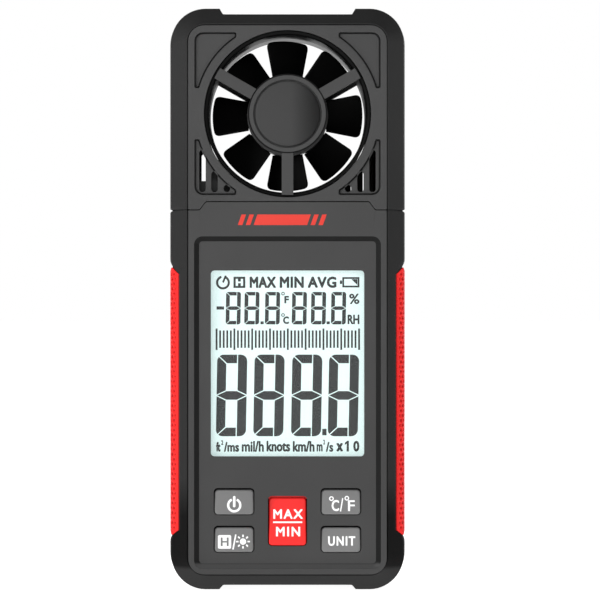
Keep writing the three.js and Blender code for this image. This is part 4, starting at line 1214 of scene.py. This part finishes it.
def digit(ink, left, low, wide, high, stem, beam, radius, gap, slant):
    """One digit with all its parts on, leaning to the left at its foot."""
    for part in seven_segments(wide, high, stem, beam, radius, gap):
        ink.shape([xz(left + p.x - slant * (1 - p.y / high), low + p.y) for p in part])


def draw_status_row(ink):
    centre = xz(-17.2, 82.15)
    ink.open_hoop(centre, 1.85, 1.26, 60, 105)
    ink.bar(centre, centre + xz(0.75, 1.85), 0.5)
    ink.shape(box_outline(-14.4, -11.25, 80.7, 83.7), capital_h(-13.8, -11.85, 81.25, 83.15, 0.6, 0.45))
    for text, left, right in (("MAX", -10.1, -3.05), ("MIN", -2.1, 4.35), ("AVG", 5.35, 13.05)):
        ink.text(text, left, right, 80.7, 83.75, 0.17, 1.08)
    ink.shape(box_outline(14.6, 19.15, 80.85, 83.6), box_outline(15.08, 18.67, 81.33, 83.12))
    ink.box(13.95, 14.55, 81.75, 82.7)
    ink.shape([xz(17.0, 83.05), xz(18.6, 81.5), xz(18.6, 83.05)])


def draw_small_digits(ink):
    ink.box(-18.9, -16.9, 74.95, 75.8)
    for left in (-16.35, -11.4, -5.9, 1.25, 6.35, 11.7):
        digit(ink, left, 71.0, *SMALL_DIGIT)
    for left in (-7.2, 10.4):
        ink.box(left, left + 0.85, 71.05, 71.8)
    for z in (79.2, 73.5):
        ink.hoop(-1.2, z, 0.48, 0.25, 16)
    ink.text("F", -0.85, 0.4, 76.6, 78.6, 0.12)
    ink.text("C", -1.2, 0.4, 71.1, 73.15, 0.12)
    ink.text("%", 16.4, 19.15, 76.4, 79.2, 0.1)
    ink.text("RH", 16.0, 19.15, 71.05, 73.6, 0.12)


def draw_scale(ink):
    """A bar scale of 41 ticks, every fifth one long."""
    for k in range(41):
        x = -18.9 + 0.949 * k
        low, top = (64.2, 69.9) if k % 5 == 0 else (64.75, 69.4)
        ink.box(x - 0.25, x + 0.25, low, top)


def draw_big_digits(ink):
    for left in (-18.7, -8.75, 1.3, 11.1):
        digit(ink, left, 41.2, *BIG_DIGIT)
    ink.box(9.25, 10.4, 41.45, 43.2)


# Text, left, right, low, top and weight.
UNIT_WORDS = (
    ("ft", -19.05, -17.85, 37.1, 39.7, 0.12), ("2", -17.7, -17.1, 38.9, 40.15, 0.06),
    ("/ms", -16.95, -12.9, 37.05, 39.7, 0.12), ("mil/h", -12.2, -6.3, 37.05, 40.0, 0.12),
    ("knots", -5.6, 0.7, 37.1, 40.0, 0.13), ("km/h", 1.4, 7.2, 37.05, 40.0, 0.13),
    ("m", 7.75, 9.35, 37.15, 39.1, 0.1), ("2", 9.5, 10.0, 39.0, 40.3, 0.06),
    ("/s", 10.2, 12.2, 37.05, 39.7, 0.11), ("x", 13.0, 14.8, 37.15, 39.4, 0.18),
    ("0", 17.5, 19.15, 37.1, 40.0, 0.15),
)


def draw_units_row(ink):
    """The units, with a drawn 1 before the last 0."""
    for word in UNIT_WORDS:
        ink.text(*word)
    ink.shape([xz(15.75, 37.15), xz(16.35, 37.15), xz(16.35, 40.0), xz(15.9, 40.0), xz(15.25, 39.4),
               xz(15.25, 38.9), xz(15.75, 39.2)])


def display():
    low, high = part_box("lcd_glass")
    outline = rounded_rect(low.x, high.x, low.z, high.z, GLASS_RADIUS)
    solid = Solid()
    solid.drum([solid.ring(outline, HALF_DEPTH + low.y), solid.ring(outline, HALF_DEPTH + high.y)])
    solid.piece("display_glass", LCD, "housing", ("lcd_glass",), "lcd_glass")
    ink = Ink(on_glass, SEGMENT_THICK)
    for draw in (draw_status_row, draw_small_digits, draw_scale, draw_big_digits, draw_units_row):
        draw(ink)
    ink.done("display_segments", SEGMENT)


def window_pane():
    """The clear pane, with a flange behind the panel."""
    outline = grown(window_outline(), -WINDOW_SHRINK)
    flange = grown(outline, WINDOW_FLANGE - WINDOW_EASE)
    back = PLATE + WINDOW_BACK
    solid = Solid()
    rings = solid.rise(outline, brim(FINE_EDGE, PANEL_DEPTH + WINDOW_SUNK) + [(0, back)])
    rings += [solid.ring(flange, back), solid.ring(flange, HALF_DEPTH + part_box("display_window")[1].y)]
    solid.walls(rings[-3:])
    solid.ends(rings)
    return solid.piece("window_pane", WINDOW, "housing", ("display_window",), "clear_window")


def on_face(x, z, lift):
    return (x, -HALF_DEPTH - lift, z)


def plain_mark():
    """A plain red device of slanted bars, above the panel."""
    ink = Ink(on_face)
    low, high, lean = 97.4, 100.2, 1.0
    for left, right in ((-13.2, -12.0), (-11.1, -9.9), (-9.0, 5.2), (6.1, 7.3), (8.2, 9.4)):
        ink.shape([xz(left, low), xz(right, low), xz(right + lean, high), xz(left + lean, high)])
    return ink.done("plain_mark", MARK)


# ------------------------------------------------------------------ battery compartment and screws

DOOR_LOW, DOOR_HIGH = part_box("battery_door")
DOOR_HALF, DOOR_TOP, DOOR_INNER, DOOR_RADIUS, DOOR_EDGE = mm(18.95, 80.7, 13.2, 1.2, 0.2)
DOOR_DEEP = HALF_DEPTH - DOOR_INNER
DOOR_ROUND = DOOR_DEEP / 2
HINGE = Vector((0, (DOOR_INNER + HALF_DEPTH) / 2, DOOR_LOW.z + DOOR_ROUND))
PIN_RADIUS, PIN_TIP, PIN_CHAMFER, PIN_ROOT = mm(0.6, 0.5, 0.1, 0.5)
RIB_X, RIB_HALF, RIB_LOW, RIB_TOP, RIB_SUNK, RIB_ROUND = mm(5.5, 0.4, 32.3, 77.7, 0.2, 0.3)
TONGUE_HALF, TONGUE_NEAR, TONGUE_FAR, TONGUE_ROOT, TONGUE_ROUND = mm(3.6, 13.7, 14.4, 1, 0.5)

CLEAR = 0.15 * MM
POCKET_RADII = mm(0.3, 1.3, 0.6, 1.4)
BAY_HALF, BAY_LOW, BAY_TOP, BAY_RADIUS, BAY_WALL, BAY_FLOOR = mm(17, 28.3, 78.7, 0.6, 0.7, 0.5)
BAY_DEEP = HALF_DEPTH - 0.9 * MM
THUMB_HALF, THUMB_TOP = mm(4.5, 83.4)

CELL_NUB, CELL_COLLAR, CELL_EDGE, CELL_SLEEVE = mm(1.0, 1.6, 0.35, 0.4)
CELL_BARE_FOOT, CELL_BARE_TOP = mm(1, 0.3)

# A screw's head as (growth, depth), then its cross recess and its shank.
SCREW_HEAD = (mm(-0.75, 0), mm(-0.45, 0.06), mm(-0.2, 0.2), mm(-0.05, 0.42), mm(0, 0.7), mm(0, 1.95),
              mm(-0.1, 2.0))
CROSS_REACH, CROSS_HALF, CROSS_DEEP, CROSS_DRAFT = mm(0.95, 0.2, 0.9, 0.06)
SHANK_RADIUS, SHANK_TOP, SHANK_CONE, SHANK_POINT = mm(0.95, 1.95, 0.8, 0.7)


def battery_bay():
    """The door's pocket with its thumb notch, and the bay for three cells below it."""
    half, low, top = DOOR_HALF + CLEAR, DOOR_LOW.z - CLEAR, DOOR_TOP + CLEAR
    corners = mirrored([Vector(p) for p in (
        (half, low), (half, top), (THUMB_HALF, top), (THUMB_HALF, THUMB_TOP))])
    bay = Hole(
        rounded_rect(-BAY_HALF, BAY_HALF, BAY_LOW, BAY_TOP, BAY_RADIUS),
        lip(EDGE, DOOR_DEEP + CLEAR) + [(0, BAY_DEEP)],
        jacket=[(BAY_WALL, PLATE), (BAY_WALL, BAY_DEEP + BAY_FLOOR)])
    steps = lip(HOLE_EDGE) + [(0, DOOR_DEEP + CLEAR)]
    return Hole(filleted(corners, POCKET_RADII + POCKET_RADII[::-1], 5), steps, inside=(bay,))


def box_solid(solid, low, high, edge):
    """A box with its upright edges rounded."""
    near, far = HALF_DEPTH - low[1], HALF_DEPTH - high[1]
    solid.ends(solid.rise(rounded_rect(low[0], high[0], low[2], high[2], edge, 3),
                          [(0, near), (0, far + edge / 2), (-edge / 2, far)]))


def door():
    """The door, with a rounded lower edge that turns on two pins, a thumb tongue and two ribs."""
    solid = Solid(REAR)
    chamfer = DOOR_EDGE * EDGE_SHARE
    levels = [(-DOOR_EDGE, 0.0), (-chamfer, chamfer), (0.0, DOOR_EDGE)]
    levels += [(0.0, DOOR_DEEP * k / 8) for k in range(2, 9)]
    rings = []
    for growth, depth in levels:
        low = HINGE.z - sqrt(max(DOOR_ROUND ** 2 - (depth - DOOR_ROUND) ** 2, 0))
        outline = rounded_rect(-DOOR_HALF - growth, DOOR_HALF + growth, low, DOOR_TOP + growth, DOOR_RADIUS)
        rings.append(solid.ring(outline, depth))
    solid.drum(rings)
    for sign in (-1, 1):
        pin = ((DOOR_HALF - PIN_ROOT, PIN_RADIUS), (DOOR_HIGH.x - PIN_CHAMFER, PIN_RADIUS),
               (DOOR_HIGH.x, PIN_TIP))
        solid.drum([solid.loop([(sign * x, p.x, p.y) for p in circle(HINGE.yz, r, 20)]) for x, r in pin])
        x = sign * RIB_X
        box_solid(solid, (x - RIB_HALF, DOOR_INNER + RIB_SUNK, RIB_LOW),
                  (x + RIB_HALF, DOOR_LOW.y, RIB_TOP), RIB_ROUND)
    box_solid(solid, (-TONGUE_HALF, TONGUE_NEAR, DOOR_TOP - TONGUE_ROOT),
              (TONGUE_HALF, TONGUE_FAR, DOOR_HIGH.z), TONGUE_ROUND)
    return solid.piece("battery_cover", SHELL, "door", ("battery_door",), "dark_grey_abs")


def cell(number):
    """A round cell in a printed sleeve, with a nub at its positive end. The middle one is upside down."""
    node = f"battery_{number}"
    low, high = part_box(node)
    centre = (low + high) / 2
    radius = (high.x - low.x) / 2
    length = high.z - low.z
    up = number != 2
    end, edge = length - CELL_NUB, CELL_EDGE
    near, far, deep, foot = mm(0.1, 0.2, 0.15, 0.08)
    crimp, groove, wide, wider = mm(0.5, 1.0, 1.2, 1.2)
    profile = [
        (radius - wide, 0), (radius - crimp, foot), (radius - near, near), (radius, edge),
        (radius, end - edge), (radius - edge, end), (CELL_COLLAR + wider, end),
        (CELL_COLLAR + groove, end - deep), (CELL_COLLAR + deep, end - deep), (CELL_COLLAR, end),
        (CELL_COLLAR, length - far), (CELL_COLLAR - far, length),
    ]
    solid = Solid()
    solid.drum([solid.loop([(p.x, p.y, low.z + z if up else high.z - z) for p in circle(centre.xy, r, 40)])
                for r, z in profile])

    def bare(face):
        """Picks the steel ends that the sleeve leaves bare."""
        spot = face.calc_center_median()
        along = spot.z - low.z if up else high.z - spot.z
        return ((spot.xy - centre.xy).length < radius - CELL_SLEEVE
                and (along < CELL_BARE_FOOT or along > end - CELL_BARE_TOP))
    return solid.piece(f"cell_{number}", CELL, "housing", (node,), "cell_wrap", accent=(STEEL, bare))


def cross_outline(centre, reach, half):
    corners = [(reach, -half), (reach, half), (half, half), (half, reach), (-half, reach), (-half, half),
               (-reach, half), (-reach, -half), (-half, -half), (-half, -reach), (half, -reach),
               (half, -half)]
    return [centre + Vector(p) for p in corners]


def screw(node, piece):
    """A pan-head screw with a cross recess, and its shank."""
    low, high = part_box(node)
    centre = middle_of(node)
    top, tip = HALF_DEPTH - high.y, HALF_DEPTH - low.y
    solid = Solid(REAR)
    rings = solid.rise(circle(centre, (high.x - low.x) / 2, 36),
                       [(growth, top + depth) for growth, depth in SCREW_HEAD])
    cross = cross_outline(centre, CROSS_REACH, CROSS_HALF)
    solid.plate(rings, [Hole(cross, [(0, top), (-CROSS_DRAFT, top + CROSS_DEEP)])])
    solid.ends(solid.rise(circle(centre, SHANK_RADIUS, 20),
                          [(0, top + SHANK_TOP), (0, tip - SHANK_CONE), (-SHANK_POINT, tip)]))
    return solid.piece(piece, STEEL, "housing", (node,), "zinc_steel", sharp=40)


# ------------------------------------------------------------------ pieces that keep their CAD shape

def numbered(name, count):
    return [f"{name}_{k}" for k in range(1, count + 1)]


KEPT = (
    (STEEL, ["rotor_shaft"] + numbered("battery_plate", 3) + numbered("battery_spring", 3)
     + numbered("pcb_screw", 4)),
    (MAGNET, ["rotor_magnet"]),
    (BRASS, ["front_bearing", "rear_bearing"]),
    (CHIP, ["hall_sensor", "humidity_sensor", "controller_chip", "buzzer"]),
    (BOARD, ["main_pcb"]),
    (BLACK_BOARD, ["sensor_board"]),
    (RED_WIRE, ["battery_lead_red"]),
    (BLACK_WIRE, ["battery_lead_black", "sensor_lead"]),
    (FOAM, ["window_gasket"]),
    (WHITE, ["lcd_frame", "backlight"]),
    (SILICONE, ["zebra_strip_top", "zebra_strip_bottom", "keypad_mat"]),
)
ROUNDED = ("hall_sensor", "humidity_sensor", "sensor_board", "controller_chip", "buzzer", "lcd_frame")
ROUNDED_EDGE, ROUNDED_ANGLE = 0.08 * MM, 40


def dress_kept():
    for material, nodes in KEPT:
        for node in nodes:
            thing = bpy.data.objects[node]
            thing.data.materials.clear()
            thing.data.materials.append(material)
            if node in ROUNDED:
                edge = thing.modifiers.new("edge", "BEVEL")
                edge.width = ROUNDED_EDGE
                edge.segments = 2
                edge.limit_method = "ANGLE"
                edge.angle_limit = radians(ROUNDED_ANGLE)


# ------------------------------------------------------------------ the set

WHITE_LIGHT = (1, 1, 1, 1)
AMBIENT, FLOOR_GLOW, FLOOR_REACH = 0.22, 0.95, 12.0
# Name, place in metres, size and power of each lamp. All of them aim at the middle of the case.
LAMPS = (
    ("key", (-0.75, -0.65, 0.42), (0.45, 0.45), 5.0),
    ("front", (-0.1, -1.3, 0.45), (0.6, 0.4), 2.6),
    ("right", (0.9, -0.5, 0.2), (0.3, 0.5), 0.8),
    ("back", (0.5, 1.1, 0.6), (0.6, 0.6), 5.0),
)
CAMERA_AWAY, CAMERA_HEIGHT, VIEW_WIDTH, VIEW_SHIFT = 0.975, 0.0775, 0.1593, 0.0208
SENSOR_WIDTH, CLIP_END = 36, 100


def area_light(name, place, size, power):
    data = bpy.data.lights.new(name, "AREA")
    data.shape = "RECTANGLE"
    data.size, data.size_y = size
    data.energy = power
    lamp = bpy.data.objects.new(name, data)
    lamp.location = place
    aim = Vector((0, 0, HEIGHT / 2)) - Vector(place)
    lamp.rotation_euler = aim.to_track_quat("-Z", "Y").to_euler()
    bpy.context.scene.collection.objects.link(lamp)


def surround():
    """The camera sees white, while the light that the surround gives is weaker."""
    world = bpy.data.worlds.new("studio")
    bpy.context.scene.world = world
    world.use_nodes = True
    nodes, links = world.node_tree.nodes, world.node_tree.links
    seen = nodes["Background"]
    feed(seen, Color=WHITE_LIGHT)
    lighting = add_node(world, "ShaderNodeBackground", Color=WHITE_LIGHT, Strength=AMBIENT)
    path = add_node(world, "ShaderNodeLightPath")
    mix = add_node(world, "ShaderNodeMixShader", Fac=path.outputs["Is Camera Ray"])
    links.new(lighting.outputs[0], mix.inputs[1])
    links.new(seen.outputs[0], mix.inputs[2])
    links.new(mix.outputs[0], nodes["World Output"].inputs["Surface"])


def paper():
    """A white floor with a glow of its own."""
    data = bpy.data.meshes.new("floor")
    reach = FLOOR_REACH
    data.from_pydata([(-reach, -reach, 0), (reach, -reach, 0), (reach, reach, 0), (-reach, reach, 0)],
                     [], [(0, 1, 2, 3)])
    glow = {"Specular IOR Level": 0.0, "Emission Color": WHITE_LIGHT, "Emission Strength": FLOOR_GLOW}
    data.materials.append(new_material("floor_paper", "#fafafa", 0.9, **glow))
    floor = bpy.data.objects.new("floor", data)
    bpy.context.scene.collection.objects.link(floor)


def camera():
    """Level with the middle of the case and square to its face, as in a product shot."""
    data = bpy.data.cameras.new("camera")
    data.sensor_width = SENSOR_WIDTH
    data.lens = SENSOR_WIDTH * CAMERA_AWAY / VIEW_WIDTH
    data.shift_x = VIEW_SHIFT
    data.clip_end = CLIP_END
    thing = bpy.data.objects.new("camera", data)
    thing.location = (0, -HALF_DEPTH - CAMERA_AWAY, CAMERA_HEIGHT)
    thing.rotation_euler = (radians(90), 0, 0)
    bpy.context.scene.collection.objects.link(thing)
    bpy.context.scene.camera = thing
    bpy.context.scene.view_settings.view_transform = "Standard"


camera()
surround()
paper()
for lamp in LAMPS:
    area_light(*lamp)

case_screws = numbered("case_screw", 4)
half_shell("body_front", "body", FRONT, [panel()], ("front_cover",), accent=(SLOPE_PAINTED_SHADE, on_panel_slope))
half_shell("head_front", "head", FRONT, head_holes(FRONT, FRONT_SLOTS, FRONT_SLOTS), ("head_front_cover",))
half_shell("head_rear", "head", REAR, head_holes(REAR, FRONT_SLOTS, SHIFTED_SLOTS), ("head_rear_cover",))
half_shell("body_rear", "body", REAR, [battery_bay(), *map(counterbore, case_screws)], ("rear_cover",))
bumper("bumper_head", "head", RUBBER, ("head_bumper",))
bumper("bumper_body", "body", BUMPER_PAINTED_SHADE, ("body_bumper",))
grip("side_grip_left", -1, ("grip_left",))
grip("side_grip_right", 1, ("grip_right",))
duct("duct_front", FRONT, DUCT, ("fan_housing_front",))
duct("duct_rear", REAR, REAR_DUCT, ("fan_housing_rear",))
spider("spider_front", FRONT, True)
spider("spider_rear", REAR, False)
hub_cap()
impeller_blades()
impeller_hub()

KEYS = (
    ("power", KEY, "grey_key_plastic", draw_power),
    ("hold", KEY, "grey_key_plastic", draw_hold),
    ("max_min", RED_KEY, "red_key_plastic", draw_max_min),
    ("temperature", KEY, "grey_key_plastic", draw_temperature),
    ("unit", KEY, "grey_key_plastic", draw_unit),
)
for label, material, slot, draw in KEYS:
    node, body = "button_" + label, "key_" + label
    key(node, "key_cap_" + label, body, material, slot)
    legend = Ink(key_plane(node))
    draw(legend)
    legend.done("legend_" + label, LEGEND, body)
display()
window_pane()
plain_mark()
door()
for number in (1, 2, 3):
    cell(number)
for node in case_screws + numbered("head_screw", 2):
    screw(node, node.replace("screw_", "screw_head_"))
dress_kept()
